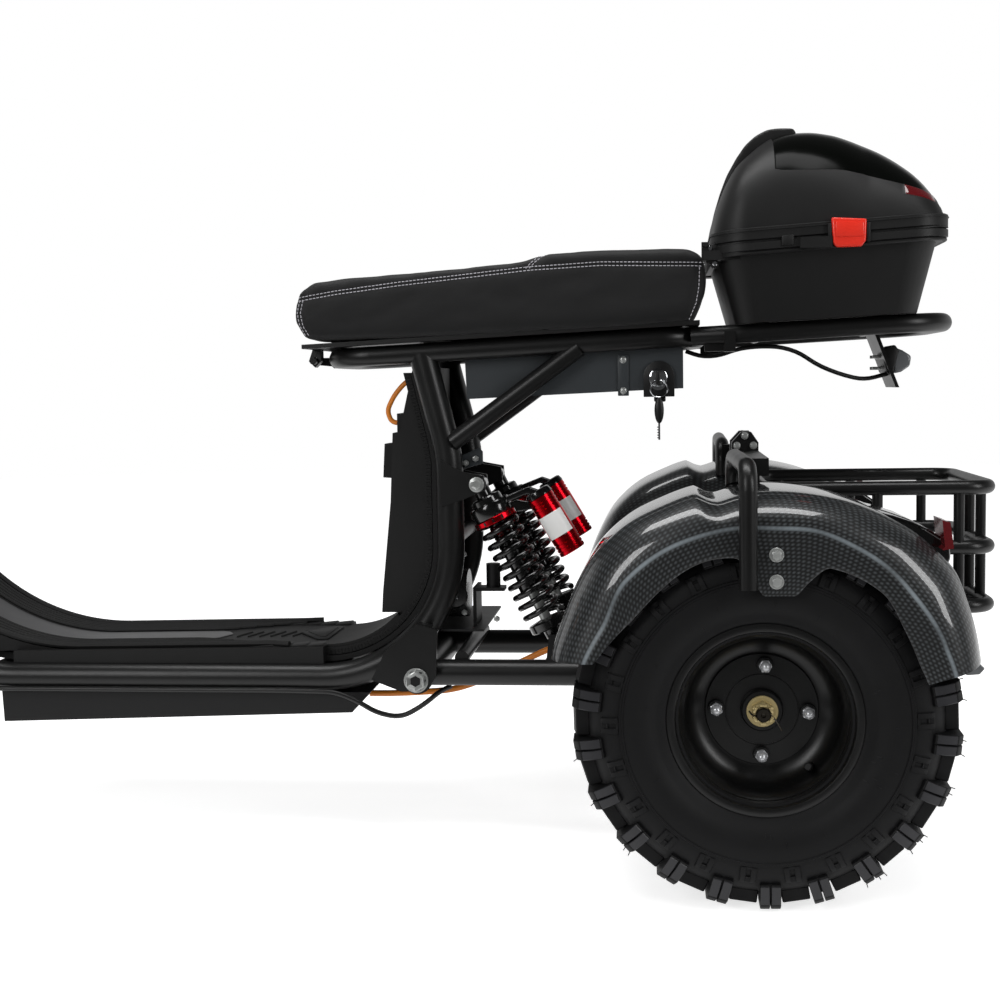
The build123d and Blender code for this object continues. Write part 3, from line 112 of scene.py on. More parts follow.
class Workpiece:
    """A mesh in the making, in millimetres, with x measured from the rear axle."""

    def __init__(self) -> None:
        """Starts empty."""
        self.mesh = bmesh.new()

    def add(self, part: BMesh, finish: int = 0, place: Matrix | None = None) -> None:
        """Moves a shape into the workpiece.

        Args:
            part: The shape, which is used up.
            finish: Which of the workpiece's finishes its faces take, or -1 to keep their own.
            place: Where it goes, or None where it is in place.
        """
        if place is not None:
            bmesh.ops.transform(part, matrix=place, verts=part.verts)
            if place.determinant() < 0:
                bmesh.ops.reverse_faces(part, faces=part.faces)
        if finish >= 0:
            for face in part.faces:
                face.material_index = finish
        data = as_mesh(part, "part")
        self.mesh.from_mesh(data)
        bpy.data.meshes.remove(data)

    def copies(self, part: BMesh, places: Iterable[Matrix], finish: int = 0) -> None:
        """Adds a copy of a shape at each place.

        Args:
            part: The shape, which is used up.
            places: Where the copies go.
            finish: Which of the workpiece's finishes they take.
        """
        for place in places:
            self.add(part.copy(), finish, place)
        part.free()

    def finish(self, name: str, finishes: Sequence["Finish"], body: str, slot: str,
               replaces: Sequence[str] = (), crease: float = 32.0) -> bpy.types.Object:
        """Makes the workpiece an object that rides on a body.

        Args:
            name: The piece's name.
            finishes: Its finishes, in the order that its faces number them.
            body: The CAD body that it moves with.
            slot: The record's material slot; not used.
            replaces: CAD nodes that it stands for.
            crease: Degrees between faces past which an edge is sharp.

        Returns:
            The object.
        """
        bmesh.ops.transform(self.mesh, matrix=TO_ROW, verts=self.mesh.verts)
        data = as_mesh(self.mesh, name)
        data.shade_smooth()
        data.set_sharp_from_angle(angle=math.radians(crease))
        for finish in finishes:
            data.materials.append(finish.material())
        piece = in_scene(name, data)
        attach(piece, body)
        if replaces:
            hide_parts(*replaces)
        log.info("%s: %d faces", name, len(data.polygons))
        return piece


def soften(part: BMesh, width: float, cuts: int = 2, angle: float = 30.0) -> BMesh:
    """Rounds the edges of a shape that are sharper than an angle.

    Args:
        part: The shape.
        width: Width of the rounding.
        cuts: Steps across each rounding.
        angle: Degrees between faces past which an edge is rounded.

    Returns:
        The same shape.
    """
    edges = [edge for edge in part.edges
             if edge.is_manifold and edge.calc_face_angle() > math.radians(angle)]
    bmesh.ops.bevel(part, geom=edges, offset=width, offset_type="OFFSET", segments=cuts,
                    profile=0.5, affect="EDGES", material=-1, clamp_overlap=True)
    return part


def turned(profile: Sequence[Pair], sides: int = 96, closed: bool = False) -> BMesh:
    """A turned shape.

    Args:
        profile: Points as (height along the axis, radius).
        sides: Steps round.
        closed: Whether the last point joins the first.

    Returns:
        The shape, with its axis on z.
    """
    part = bmesh.new()
    verts = [part.verts.new((radius, 0, height)) for height, radius in profile]
    pairs = list(zip(verts, verts[1:] + verts[:1] if closed else verts[1:]))
    edges = [part.edges.new(pair) for pair in pairs]
    bmesh.ops.spin(part, geom=verts + edges, cent=(0, 0, 0), axis=(0, 0, 1), angle=math.tau,
                   steps=sides, use_merge=True)
    bmesh.ops.remove_doubles(part, verts=part.verts, dist=1e-4)
    bmesh.ops.recalc_face_normals(part, faces=part.faces)
    return part


def plate(outline: Sequence[Pair], low: float, high: float, edge: float = 0.0, cuts: int = 2) -> BMesh:
    """A plate with an outline in side view.

    Args:
        outline: Its corners as (x, z).
        low: The y of its first face.
        high: The y of its second face.
        edge: Rounding of its edges, or 0 for sharp ones.
        cuts: Steps across each rounding.

    Returns:
        The plate.
    """
    part = bmesh.new()
    face = part.faces.new([part.verts.new((x, low, z)) for x, z in outline])
    grown = bmesh.ops.extrude_face_region(part, geom=[face])["geom"]
    bmesh.ops.translate(part, vec=(0, high - low, 0), verts=[v for v in grown if isinstance(v, BMVert)])
    bmesh.ops.recalc_face_normals(part, faces=part.faces)
    return soften(part, edge, cuts) if edge else part


def block(low: Point, high: Point, edge: float = 0.0, cuts: int = 2) -> BMesh:
    """A block between two corners, its edges rounded.

    Args:
        low: Its lowest corner.
        high: Its highest corner.
        edge: Rounding of its edges, or 0 for sharp ones.
        cuts: Steps across each rounding.

    Returns:
        The block.
    """
    part = bmesh.new()
    first, last = Vector(low), Vector(high)
    size = last - first
    bmesh.ops.create_cube(part, size=1)
    bmesh.ops.transform(part, verts=part.verts, matrix=Matrix.Translation((first + last) / 2)
                        @ Matrix.Diagonal((*size, 1)))
    return soften(part, edge, cuts) if edge else part


def along(start: Sequence[float], direction: Sequence[float]) -> Matrix:
    """A place whose z axis points in a direction."""
    turn = Vector(direction).to_track_quat("Z", "Y").to_matrix().to_4x4()
    return Matrix.Translation(start) @ turn


def rod(start: Sequence[float], end: Sequence[float], radius: float, sides: int = 20, edge: float = 0.0,
        radius_end: float | None = None) -> BMesh:
    """A straight bar or cone between two points.

    Args:
        start: Middle of its first end.
        end: Middle of its second end.
        radius: Its radius.
        sides: Steps round.
        edge: Rounding of its ends.
        radius_end: Radius of the second end, or None for a bar of one radius.

    Returns:
        The bar.
    """
    part = bmesh.new()
    first, run = Vector(start), Vector(end) - Vector(start)
    bmesh.ops.create_cone(part, cap_ends=True, segments=sides, radius1=radius,
                          radius2=radius if radius_end is None else radius_end, depth=run.length)
    if edge:
        soften(part, edge, 1, 60)
    bmesh.ops.transform(part, verts=part.verts, matrix=along(first + run / 2, run))
    return part


def nut(flats: float, height: float, bore: float = 0.0) -> BMesh:
    """A hexagon nut or bolt head standing on z = 0, with its corners turned off.

    Args:
        flats: Size across the flats.
        height: Its height.
        bore: Radius of the dent in its top, or 0 for a plain head.

    Returns:
        The nut.
    """
    corner = flats / math.sqrt(3)
    part = bmesh.new()
    bmesh.ops.create_cone(part, cap_ends=True, segments=6, radius1=corner, radius2=corner, depth=height)
    bmesh.ops.translate(part, vec=(0, 0, height / 2), verts=part.verts)
    soften(part, 0.07 * flats, 2, 40)
    if bore:
        top = max(part.faces, key=lambda face: face.calc_center_median().z)
        bmesh.ops.inset_region(part, faces=[top], thickness=corner * 0.87 - bore)
        bmesh.ops.translate(part, vec=(0, 0, -height * 0.5), verts=top.verts)
    return part


def dome(radius: float, height: float, sides: int = 24) -> BMesh:
    """A round cap standing on z = 0.

    Args:
        radius: Radius of its foot.
        height: Its height.
        sides: Steps round.

    Returns:
        The cap.
    """
    rings = 7
    profile = [(0.0, radius)] + [
        (height * math.sin(math.pi / 2 * step / rings), radius * math.cos(math.pi / 2 * step / rings))
        for step in range(1, rings + 1)]
    return turned([(0.0, 0.0)] + profile, sides)


def wrapped(rows: Sequence[Sequence[Point]], chart: Sequence[Sequence[Pair]] | None = None) -> BMesh:
    """A grid laid over rows of points.

    Args:
        rows: Points, row by row, all rows of one length.
        chart: Pattern coordinates for the same points.

    Returns:
        The open sheet.
    """
    across = len(rows[0])
    part = bmesh.new()
    layer = part.loops.layers.uv.new("chart")
    bmesh.ops.create_grid(part, x_segments=across - 1, y_segments=len(rows) - 1, size=1)
    order = {}
    for index, vert in enumerate(part.verts):
        order[vert] = divmod(index, across)
        row, column = order[vert]
        vert.co = rows[row][column]
    if chart:
        for face in part.faces:
            for loop in face.loops:
                row, column = order[loop.vert]
                loop[layer].uv = chart[row][column]
    return part


def swept(points: Sequence[Point], radius: float, sides: int = 6, bends: int = 8,
          cyclic: bool = False) -> BMesh:
    """A round wire along a smooth line that points steer, with closed ends.

    Args:
        points: Points that steer the line.
        radius: The wire's radius.
        sides: Steps round.
        bends: Steps between two points.
        cyclic: Whether the wire closes on itself.

    Returns:
        The wire.
    """
    data = bpy.data.curves.new("wire", "CURVE")
    data.dimensions = "3D"
    data.bevel_depth, data.bevel_resolution, data.resolution_u = radius, sides // 2 - 1, bends
    data.use_fill_caps = True
    line = data.splines.new("NURBS")
    line.points.add(len(points) - 1)
    for knot, place in zip(line.points, points):
        knot.co = (*place, 1)
    line.order_u, line.use_endpoint_u, line.use_cyclic_u = 3, not cyclic, cyclic
    carrier = bpy.data.objects.new("wire", data)
    mesh = bpy.data.meshes.new_from_object(carrier)
    bpy.data.objects.remove(carrier)
    part = bmesh.new()
    part.from_mesh(mesh)
    bpy.data.meshes.remove(mesh)
    bmesh.ops.remove_doubles(part, verts=part.verts, dist=1e-4)
    return part


def eased(stops: Sequence[Pair], at: float) -> float:
    """The value at a place on a smooth line through stops.

    Args:
        stops: Stops as (place, value), with rising places.
        at: The place.

    Returns:
        The value there; past either end it is the end's own value.
    """
    if at <= stops[0][0]:
        return stops[0][1]
    if at >= stops[-1][0]:
        return stops[-1][1]
    index = next(i for i in range(1, len(stops)) if at <= stops[i][0]) - 1
    (x0, y0), (x1, y1) = stops[index], stops[index + 1]
    rise = (y1 - y0) / (x1 - x0)

    def slope(i: int) -> float:
        """The line's slope at a stop.

        Args:
            i: Which stop.

        Returns:
            The slope, level where the stops turn.
        """
        if i in (0, len(stops) - 1):
            return rise
        before = (stops[i][1] - stops[i - 1][1]) / (stops[i][0] - stops[i - 1][0])
        after = (stops[i + 1][1] - stops[i][1]) / (stops[i + 1][0] - stops[i][0])
        return 0.0 if before * after <= 0 else 2 * before * after / (before + after)

    t = (at - x0) / (x1 - x0)
    wide = x1 - x0
    return ((2 * t**3 - 3 * t**2 + 1) * y0 + (t**3 - 2 * t**2 + t) * wide * slope(index)
            + (3 * t**2 - 2 * t**3) * y1 + (t**3 - t**2) * wide * slope(index + 1))


def steps(start: float, end: float, count: int) -> list[float]:
    """Evenly spread places from start to end, both included."""
    return [start + (end - start) * index / count for index in range(count + 1)]


def mirrored(side: int) -> Matrix:
    """The place that turns y round where side is -1 and leaves it where side is 1."""
    return Matrix.Diagonal((1, side, 1, 1))


def faced(part: BMesh, way: Point = (0, 0, 1)) -> BMesh:
    """Turns a sheet over where, taken together, its faces look the wrong way.

    Args:
        part: The sheet.
        way: The way that they are to look.

    Returns:
        The same sheet.
    """
    look = Vector(way)
    bmesh.ops.recalc_face_normals(part, faces=part.faces)
    if sum(face.normal.dot(look) for face in part.faces) < 0:
        bmesh.ops.reverse_faces(part, faces=part.faces)
    return part


# ---------------------------------------------------------------- finishes
def shade(red: float, green: float, blue: float) -> Colour:
    """A colour from its screen values, 0 to 255, as light."""
    return tuple((c / 255 / 12.92 if c < 10.3 else ((c / 255 + 0.055) / 1.055) ** 2.4)
                 for c in (red, green, blue))


class Value:
    """A shader socket that can be used in sums."""

    def __init__(self, canvas: "Canvas", socket: bpy.types.NodeSocket) -> None:
        """Wraps a socket of the canvas."""
        self.canvas, self.socket = canvas, socket

    def sum(self, operation: str, first: "Value | float", second: "Value | float") -> "Value":
        """A Math node on two values."""
        return self.canvas.node("ShaderNodeMath", {"operation": operation}, {0: first, 1: second})

    def __add__(self, other: "Value | float") -> "Value":
        """This plus the other."""
        return self.sum("ADD", self, other)

    def __sub__(self, other: "Value | float") -> "Value":
        """This less the other."""
        return self.sum("SUBTRACT", self, other)

    def __rsub__(self, other: float) -> "Value":
        """The other less this."""
        return self.sum("SUBTRACT", other, self)

    def __mul__(self, other: "Value | float") -> "Value":
        """This times the other."""
        return self.sum("MULTIPLY", self, other)

    def __truediv__(self, other: "Value | float") -> "Value":
        """This over the other."""
        return self.sum("DIVIDE", self, other)

    def __mod__(self, other: float) -> "Value":
        """What is left of this over the other, never below nought."""
        return self.sum("FLOORED_MODULO", self, other)

    def __pow__(self, other: float) -> "Value":
        """This to a power."""
        return self.sum("POWER", self, other)

    def floor(self) -> "Value":
        """The whole number below this."""
        return self.sum("FLOOR", self, 0.0)

    def positive(self) -> "Value":
        """This where it is above nought, else nought."""
        return self.sum("MAXIMUM", self, 0.0)

    def hill(self) -> "Value":
        """A hill that rises from 0 to 1 and falls to 0 over each whole number."""
        return 1 - self.sum("ABSOLUTE", (self % 1.0) * 2 - 1, 0.0)


class Canvas:
    """A node tree in the making, for a material or the world."""

    def __init__(self, owner: bpy.types.Material | bpy.types.World) -> None:
        """Starts an empty tree.

        Args:
            owner: The material or world, whose tree is emptied.
        """
        owner.use_nodes = True
        self.tree = owner.node_tree
        self.tree.nodes.clear()

    def node(self, kind: str, settings: dict, feeds: dict, output: int | str = 0) -> Value | None:
        """Adds a node.

        Args:
            kind: The node's type.
            settings: Its own settings.
            feeds: Values or links for its sockets, by place, name or identifier.
            output: The socket that is wanted.

        Returns:
            That output, ready for sums, or None where the node has no outputs.
        """
        node = self.tree.nodes.new(kind)
        for key, setting in settings.items():
            setattr(node, key, setting)
        for key, feed in feeds.items():
            socket = self.pick(node.inputs, key)
            if isinstance(feed, Value):
                self.tree.links.new(feed.socket, socket)
            else:
                socket.default_value = feed
        return Value(self, self.pick(node.outputs, output)) if len(node.outputs) else None

    @staticmethod
    def pick(sockets: Iterable, key: int | str) -> bpy.types.NodeSocket:
        """Finds a socket.

        Args:
            sockets: A node's inputs or outputs.
            key: The socket's place, identifier or name.

        Returns:
            The socket.
        """
        if isinstance(key, int):
            return sockets[key]
        return next((s for s in sockets if s.identifier == key), None) or sockets[key]

    def place(self) -> Value:
        """Place in the piece, in metres."""
        return self.node("ShaderNodeTexCoord", {}, {}, "Object")

    def chart(self) -> Value:
        """Place on the piece's own chart."""
        return self.node("ShaderNodeUVMap", {"uv_map": "chart"}, {})

    def noise(self, size: float, detail: float = 3.0, where: Value | None = None) -> Value:
        """Noise in three dimensions.

        Args:
            size: Size of a grain in millimetres.
            detail: How many finer layers it has.
            where: The place that it is read at, or None for the place in the piece.

        Returns:
            The noise, from 0 to 1.
        """
        return self.node("ShaderNodeTexNoise", {},
                         {"Vector": where or self.place(), "Scale": 1 / (size * MM), "Detail": detail},
                         0)

    def blend(self, share: Value | float, first: "Value | Colour", second: "Value | Colour") -> Value:
        """A colour between two.

        Args:
            share: 0 for the first colour, 1 for the second.
            first: The first colour.
            second: The second colour.

        Returns:
            The colour.
        """
        full = [(*c, 1) if isinstance(c, tuple) else c for c in (first, second)]
        return self.node("ShaderNodeMix", {"data_type": "RGBA"},
                         {"Factor_Float": share, "A_Color": full[0], "B_Color": full[1]}, "Result_Color")

    def bump(self, height: Value, depth: float, over: Value | None = None) -> Value:
        """A bump.

        Args:
            height: The height, from 0 to 1.
            depth: Millimetres of bump where the height is 1.
            over: Another bump that this one lies on, or None.

        Returns:
            The bumped normal.
        """
        feeds = {"Height": height, "Distance": depth * MM, "Strength": 1.0}
        if over:
            feeds["Normal"] = over
        return self.node("ShaderNodeBump", {}, feeds)

    def ramp(self, value: Value, start: float, end: float, low: float, high: float) -> Value:
        """A smooth change from low to high as a value goes from start to end."""
        return self.node("ShaderNodeMapRange", {"interpolation_type": "SMOOTHSTEP"},
                         {"Value": value, "From Min": start, "From Max": end, "To Min": low, "To Max": high})

    def rays(self) -> tuple[Value, Value, Value]:
        """Tells the rays of light apart.

        Returns:
            1 for rays from the camera, 1 for rays from gloss and 1 for rays through glass.
        """
        paths = self.node("ShaderNodeLightPath", {}, {}).socket.node
        return tuple(Value(self, paths.outputs[name])
                     for name in ("Is Camera Ray", "Is Glossy Ray", "Is Transmission Ray"))

    def split(self, vector: Value) -> list[Value]:
        """The three parts of a vector."""
        node = self.node("ShaderNodeSeparateXYZ", {}, {0: vector}).socket.node
        return [Value(self, socket) for socket in node.outputs]

    def surface(self, feeds: dict) -> None:
        """Ends the tree with a surface of these values."""
        skin = self.node("ShaderNodeBsdfPrincipled", {}, feeds)
        self.node("ShaderNodeOutputMaterial", {}, {"Surface": skin})


class Grain(Enum):
    """How a surface feels close up."""

    SMOOTH = "smooth"
    PEEL = "paint with a slight orange peel"
    MOULDED = "moulded with a fine spark texture"
    CAST = "sand cast"
    BRUSHED = "turned or brushed"
    RUBBER = "matt rubber"


@dataclass(frozen=True)
class Finish:
    """A plain finish: one colour that varies a little, and a grain."""

    name: str
    colour: Colour
    roughness: float = 0.5
    metallic: float = 0.0
    grain: Grain = Grain.SMOOTH
    size: float = 1.0
    depth: float = 0.02
    mottle: float = 0.12
    coat: float = 0.0
    specular: float = 0.5
    clear: float = 0.0

    def material(self) -> bpy.types.Material:
        """The finish's material, made once.

        Returns:
            The material.
        """
        made = bpy.data.materials.get(self.name)
        if made is None:
            made = bpy.data.materials.new(self.name)
            self.paint(Canvas(made))
        return made

    def tone(self, canvas: Canvas) -> Value:
        """The colour, made a little uneven.

        Args:
            canvas: The material's canvas.

        Returns:
            The colour.
        """
        patch = canvas.noise(70, 4)
        dark = tuple(c * (1 - self.mottle) for c in self.colour)
        light = tuple(min(1.0, c * (1 + self.mottle)) for c in self.colour)
        return canvas.blend(patch, dark, light)

    def relief(self, canvas: Canvas) -> Value | None:
        """The grain as a bump.

        Args:
            canvas: The material's canvas.

        Returns:
            The bumped normal, or None where the finish is smooth.
        """
        if self.grain == Grain.SMOOTH:
            return None
        if self.grain == Grain.BRUSHED:
            x, y, z = canvas.split(canvas.place())
            stretched = canvas.node("ShaderNodeCombineXYZ", {}, {0: x * 0.08, 1: y, 2: z})
            return canvas.bump(canvas.noise(self.size, 2, stretched), self.depth)
        fine = canvas.noise(self.size, 2 if self.grain == Grain.PEEL else 6)
        if self.grain in (Grain.MOULDED, Grain.CAST):
            cells = canvas.node("ShaderNodeTexVoronoi", {"feature": "SMOOTH_F1"},
                                {"Vector": canvas.place(), "Scale": 1 / (self.size * 1.6 * MM),
                                 "Smoothness": 0.6})
            fine = fine * 0.5 + cells * 0.6
        return canvas.bump(fine, self.depth)

    def feeds(self, canvas: Canvas) -> dict:
        """What the surface's sockets are given.

        Args:
            canvas: The material's canvas.

        Returns:
            Values for the surface's sockets, by name.
        """
        rough = canvas.noise(35, 3)
        spread = 0.10 if self.roughness > 0.2 else 0.04
        found = {"Base Color": self.tone(canvas), "Metallic": self.metallic,
                 "Roughness": rough * spread + (self.roughness - spread / 2),
                 "Specular IOR Level": self.specular, "Coat Weight": self.coat,
                 "Coat Roughness": 0.04, "Transmission Weight": self.clear}
        relief = self.relief(canvas)
        if relief:
            found["Normal"] = relief
        return found

    def paint(self, canvas: Canvas) -> None:
        """Builds the node tree."""
        canvas.surface(self.feeds(canvas))


@dataclass(frozen=True)
class Weave(Finish):
    """Carbon-look print under a clear gloss: rows of small lit cells, each row half a cell on."""

    cell: Pair = (6.6, 4.6)
    light: Colour = shade(96, 101, 104)
    # Colour of the painted highlight along the crease, which stands in for a reflection.
    painted_crease_highlight: Colour = shade(140, 150, 156)

    def paint(self, canvas: Canvas) -> None:
        """Builds the print's node tree: the lit cells, and a painted highlight along the crease that stands
        in for a reflection.

        Args:
            canvas: The material's canvas.
        """
        across, up, _ = canvas.split(canvas.chart())
        row = up / self.cell[1]
        stagger = (row.floor() % 2.0) * 0.5
        cell = ((across / self.cell[0] + stagger + row * 0.35).hill() ** 1.2) * (row.hill() ** 1.1)
        band = canvas.noise(60, 2)
        share = cell * (band * 0.5 + 0.4)
        # Painted highlight: a pale band of colour along the crease, broken up by noise, stands in for the
        # reflection of the lamps there.
        off = (up - 2.0) / 3.2
        crease = (1 - off * off).positive()
        colour = canvas.blend(share, self.colour, self.light)
        colour = canvas.blend(crease * (band * 1.4 - 0.25).positive(), colour, self.painted_crease_highlight)
        canvas.surface({"Base Color": colour, "Metallic": cell * 0.15, "Roughness": 0.40 - cell * 0.1,
                        "Normal": canvas.bump(cell, 0.12), "Coat Weight": 1.0, "Coat Roughness": 0.035,
                        "Coat IOR": 1.5})


@dataclass(frozen=True)
class Cloth(Finish):
    """Close-knit cover cloth with a soft sheen."""

    thread: float = 0.9

    def paint(self, canvas: Canvas) -> None:
        """Builds the cloth's node tree: the knit, its fluff and soft creases.

        Args:
            canvas: The material's canvas.
        """
        x, y, z = canvas.split(canvas.place())
        pitch = self.thread * MM
        knit = ((x + z) / pitch).hill() * ((y + z) / pitch).hill()
        fluff = canvas.noise(2.2, 5)
        creases = canvas.noise(45, 3)
        tone = canvas.blend(fluff * 0.6 + knit * 0.4, tuple(c * 0.7 for c in self.colour),
                            tuple(c * 1.35 for c in self.colour))
        relief = canvas.bump(creases, 0.8)
        canvas.surface({"Base Color": tone, "Roughness": fluff * 0.15 + (self.roughness - 0.08),
                        "Specular IOR Level": self.specular, "Sheen Weight": 0.12, "Sheen Roughness": 0.5,
                        "Normal": canvas.bump(knit * 0.6 + fluff * 0.4, 0.09, relief)})


class Finishes:
    """Every finish on the scooter."""

    FRAME = Finish("satin_black_frame_paint", shade(14, 14, 14), 0.36, 0.0, Grain.PEEL, 1.6, 0.010,
                   specular=0.45)
    RIM = Finish("satin_black_rim_paint", shade(13, 13, 13), 0.34, 0.0, Grain.PEEL, 1.4, 0.010, specular=0.5)
    DECK = Finish("ribbed_mat_rubber", shade(17, 17, 17), 0.62, 0.0, Grain.RUBBER, 0.8, 0.03, specular=0.35)
    DECK_INSERT = Finish("deck_insert_strip", shade(62, 62, 63), 0.40, 0.0, Grain.RUBBER, 0.8, 0.02)
    BOX_STEEL = Finish("black_sheet_steel", shade(15, 15, 16), 0.48, 0.0, Grain.PEEL, 1.2, 0.012,
                       specular=0.4)
    SHELL = Finish("battery_case_plastic", shade(20, 20, 20), 0.52, 0.0, Grain.MOULDED, 0.7, 0.03,
                   specular=0.35)
    SLATE = Finish("slate_box_paint", shade(50, 54, 57), 0.42, 0.0, Grain.PEEL, 1.0, 0.012, specular=0.4)
    CHROME = Finish("bright_chrome", shade(225, 227, 230), 0.10, 1.0, Grain.PEEL, 3.0, 0.004, mottle=0.03)
    DOMED = Finish("bright_domed_nut", shade(206, 207, 210), 0.24, 0.55, Grain.PEEL, 3.0, 0.004, mottle=0.05)
    ZINC = Finish("zinc_plate", shade(178, 180, 178), 0.30, 0.6, Grain.CAST, 0.8, 0.01, mottle=0.15)
    BRASS = Finish("yellow_zinc_plate", shade(196, 178, 128), 0.30, 0.5, Grain.CAST, 0.9, 0.012, mottle=0.22)
    DARK_STEEL = Finish("oiled_steel", shade(70, 66, 60), 0.35, 1.0, Grain.BRUSHED, 0.8, 0.02, mottle=0.2)
    MOTOR = Finish("motor_casting", shade(42, 42, 43), 0.45, 0.7, Grain.CAST, 1.2, 0.06)
    SHOCK_BLACK = Finish("gloss_black_alloy", shade(9, 9, 9), 0.16, 0.0, Grain.PEEL, 2.0, 0.006, coat=0.6)
    SPRING = Finish("gloss_black_spring", shade(8, 8, 8), 0.20, 0.0, Grain.PEEL, 2.0, 0.008, coat=0.3)
    ANODISED = Finish("red_anodised_alloy", shade(205, 16, 30), 0.24, 1.0, Grain.BRUSHED, 0.5, 0.012,
                      mottle=0.12)
    LABEL = Finish("bare_white_label", shade(232, 232, 230), 0.35, 0.0, Grain.SMOOTH, mottle=0.02)
    HORN = Finish("horn_plastic", shade(13, 13, 13), 0.30, 0.0, Grain.MOULDED, 0.9, 0.02)
    BASKET = Finish("basket_coating", shade(14, 14, 14), 0.34, 0.0, Grain.PEEL, 1.8, 0.012)
    RED_LENS = Finish("red_lens", shade(170, 18, 22), 0.10, 0.0, Grain.SMOOTH, coat=0.8, mottle=0.1)
    AMBER = Finish("amber_lens", shade(235, 120, 20), 0.12, 0.0, Grain.SMOOTH, coat=0.8, mottle=0.08)
    CLEAR = Finish("clear_lens", shade(225, 228, 230), 0.05, 0.0, Grain.SMOOTH, mottle=0.02, clear=0.85)
    CASE = Finish("textured_case_plastic", shade(17, 17, 17), 0.50, 0.0, Grain.MOULDED, 0.9, 0.035,
                  specular=0.42)
    CASE_GLOSS = Finish("gloss_case_panel", shade(6, 7, 6), 0.17, 0.0, Grain.SMOOTH, mottle=0.05,
                        specular=0.07)
    DARK_RED = Finish("dark_red_reflector", shade(84, 16, 20), 0.16, 0.0, Grain.SMOOTH, coat=0.6)
    LATCH = Finish("red_latch_plastic", shade(216, 44, 28), 0.24, 0.0, Grain.PEEL, 2.5, 0.01, mottle=0.05)
    TYRE = Finish("tyre_rubber", shade(17, 17, 18), 0.55, 0.0, Grain.RUBBER, 1.2, 0.05, mottle=0.2,
                  specular=0.22)
    LUG = Finish("lug_rubber_polished", shade(37, 37, 40), 0.34, 0.0, Grain.RUBBER, 1.4, 0.02, mottle=0.15)
    GRIP = Finish("grip_rubber", shade(14, 14, 14), 0.70, 0.0, Grain.RUBBER, 0.7, 0.04)
    CLAMP = Finish("black_clamp_alloy", shade(15, 15, 16), 0.34, 0.3, Grain.CAST, 1.0, 0.02)
    MIRROR = Finish("mirror_glass", shade(215, 220, 224), 0.02, 1.0, Grain.SMOOTH, mottle=0.01)
    SCREEN = Finish("display_glass", shade(7, 8, 10), 0.05, 0.0, Grain.SMOOTH, coat=0.5)
    PLASTIC = Finish("black_plastic", shade(14, 14, 14), 0.42, 0.0, Grain.MOULDED, 0.8, 0.02)
    LEAD = Finish("black_lead", shade(12, 12, 12), 0.38, 0.0, Grain.RUBBER, 1.2, 0.015)
    ORANGE = Finish("orange_lead", shade(222, 128, 30), 0.42, 0.0, Grain.RUBBER, 1.2, 0.015, mottle=0.08)
    SEAT = Cloth("seat_cover_cloth", shade(14, 14, 15), 0.62, specular=0.35)
    PAD = Finish("backrest_pad_leather", shade(16, 16, 16), 0.48, 0.0, Grain.MOULDED, 1.6, 0.06, specular=0.4)
    SMOKED = Finish("smoked_lens", shade(96, 98, 100), 0.08, 0.0, Grain.SMOOTH, coat=0.8, mottle=0.1)
    THREAD = Finish("pale_thread", shade(176, 174, 180), 0.7, 0.0, Grain.RUBBER, 0.4, 0.05)
    LIP = Finish("grey_edge_plastic", shade(96, 98, 100), 0.34, 0.0, Grain.PEEL, 1.5, 0.01, coat=0.3)
    CARBON = Weave("carbon_print_gloss", shade(8, 8, 8))
    FENDER_BLACK = Finish("fender_gloss_black", shade(8, 8, 8), 0.12, 0.0, Grain.SMOOTH, coat=1.0,
                          mottle=0.05)


NODE_FINISHES = {
    Finishes.FRAME: ("main_tube_left", "main_tube_right", "steering_head", "frame_cross_members",
                     "seat_frame", "rear_rack", "pivot_plates", "swing_arm", "fender_arches", "handlebar"),
    Finishes.DECK: ("deck_mat", "leg_shield", "rear_trim"),
    Finishes.BOX_STEEL: ("controller_box", "electrics_tray"),
    Finishes.SHELL: ("battery_case",),
    Finishes.SLATE: ("storage_box",),
    Finishes.CHROME: ("seat_lock",),
    Finishes.MOTOR: ("rear_axle",),
    Finishes.SPRING: ("shock_springs",),
    Finishes.HORN: ("horn",),
    Finishes.BASKET: ("rear_basket", "basket_bars"),
    Finishes.DARK_RED: ("fender_lamps",),
    Finishes.CASE: ("case_base",),
    Finishes.RIM: ("front_rim",),
    Finishes.SHOCK_BLACK: ("fork_legs",),
    Finishes.CLAMP: ("fork_clamps", "brake_levers", "brake_caliper"),
    Finishes.GRIP: ("grips",),
    Finishes.PLASTIC: ("mirrors", "display", "headlight", "seat_pan", "front_fender"),
    Finishes.AMBER: ("turn_signals",),
    Finishes.LEAD: ("black_leads", "front_brake_hose"),
    Finishes.ORANGE: ("orange_leads",),
}


def dress_nodes() -> None:
    """Gives each CAD node that stays its finish."""
    for finish, names in NODE_FINISHES.items():
        for name in names:
            node = frame["nodes"][name]
            node.data.materials.clear()
            node.data.materials.append(finish.material())
            log.info("%s keeps its CAD shape", name)


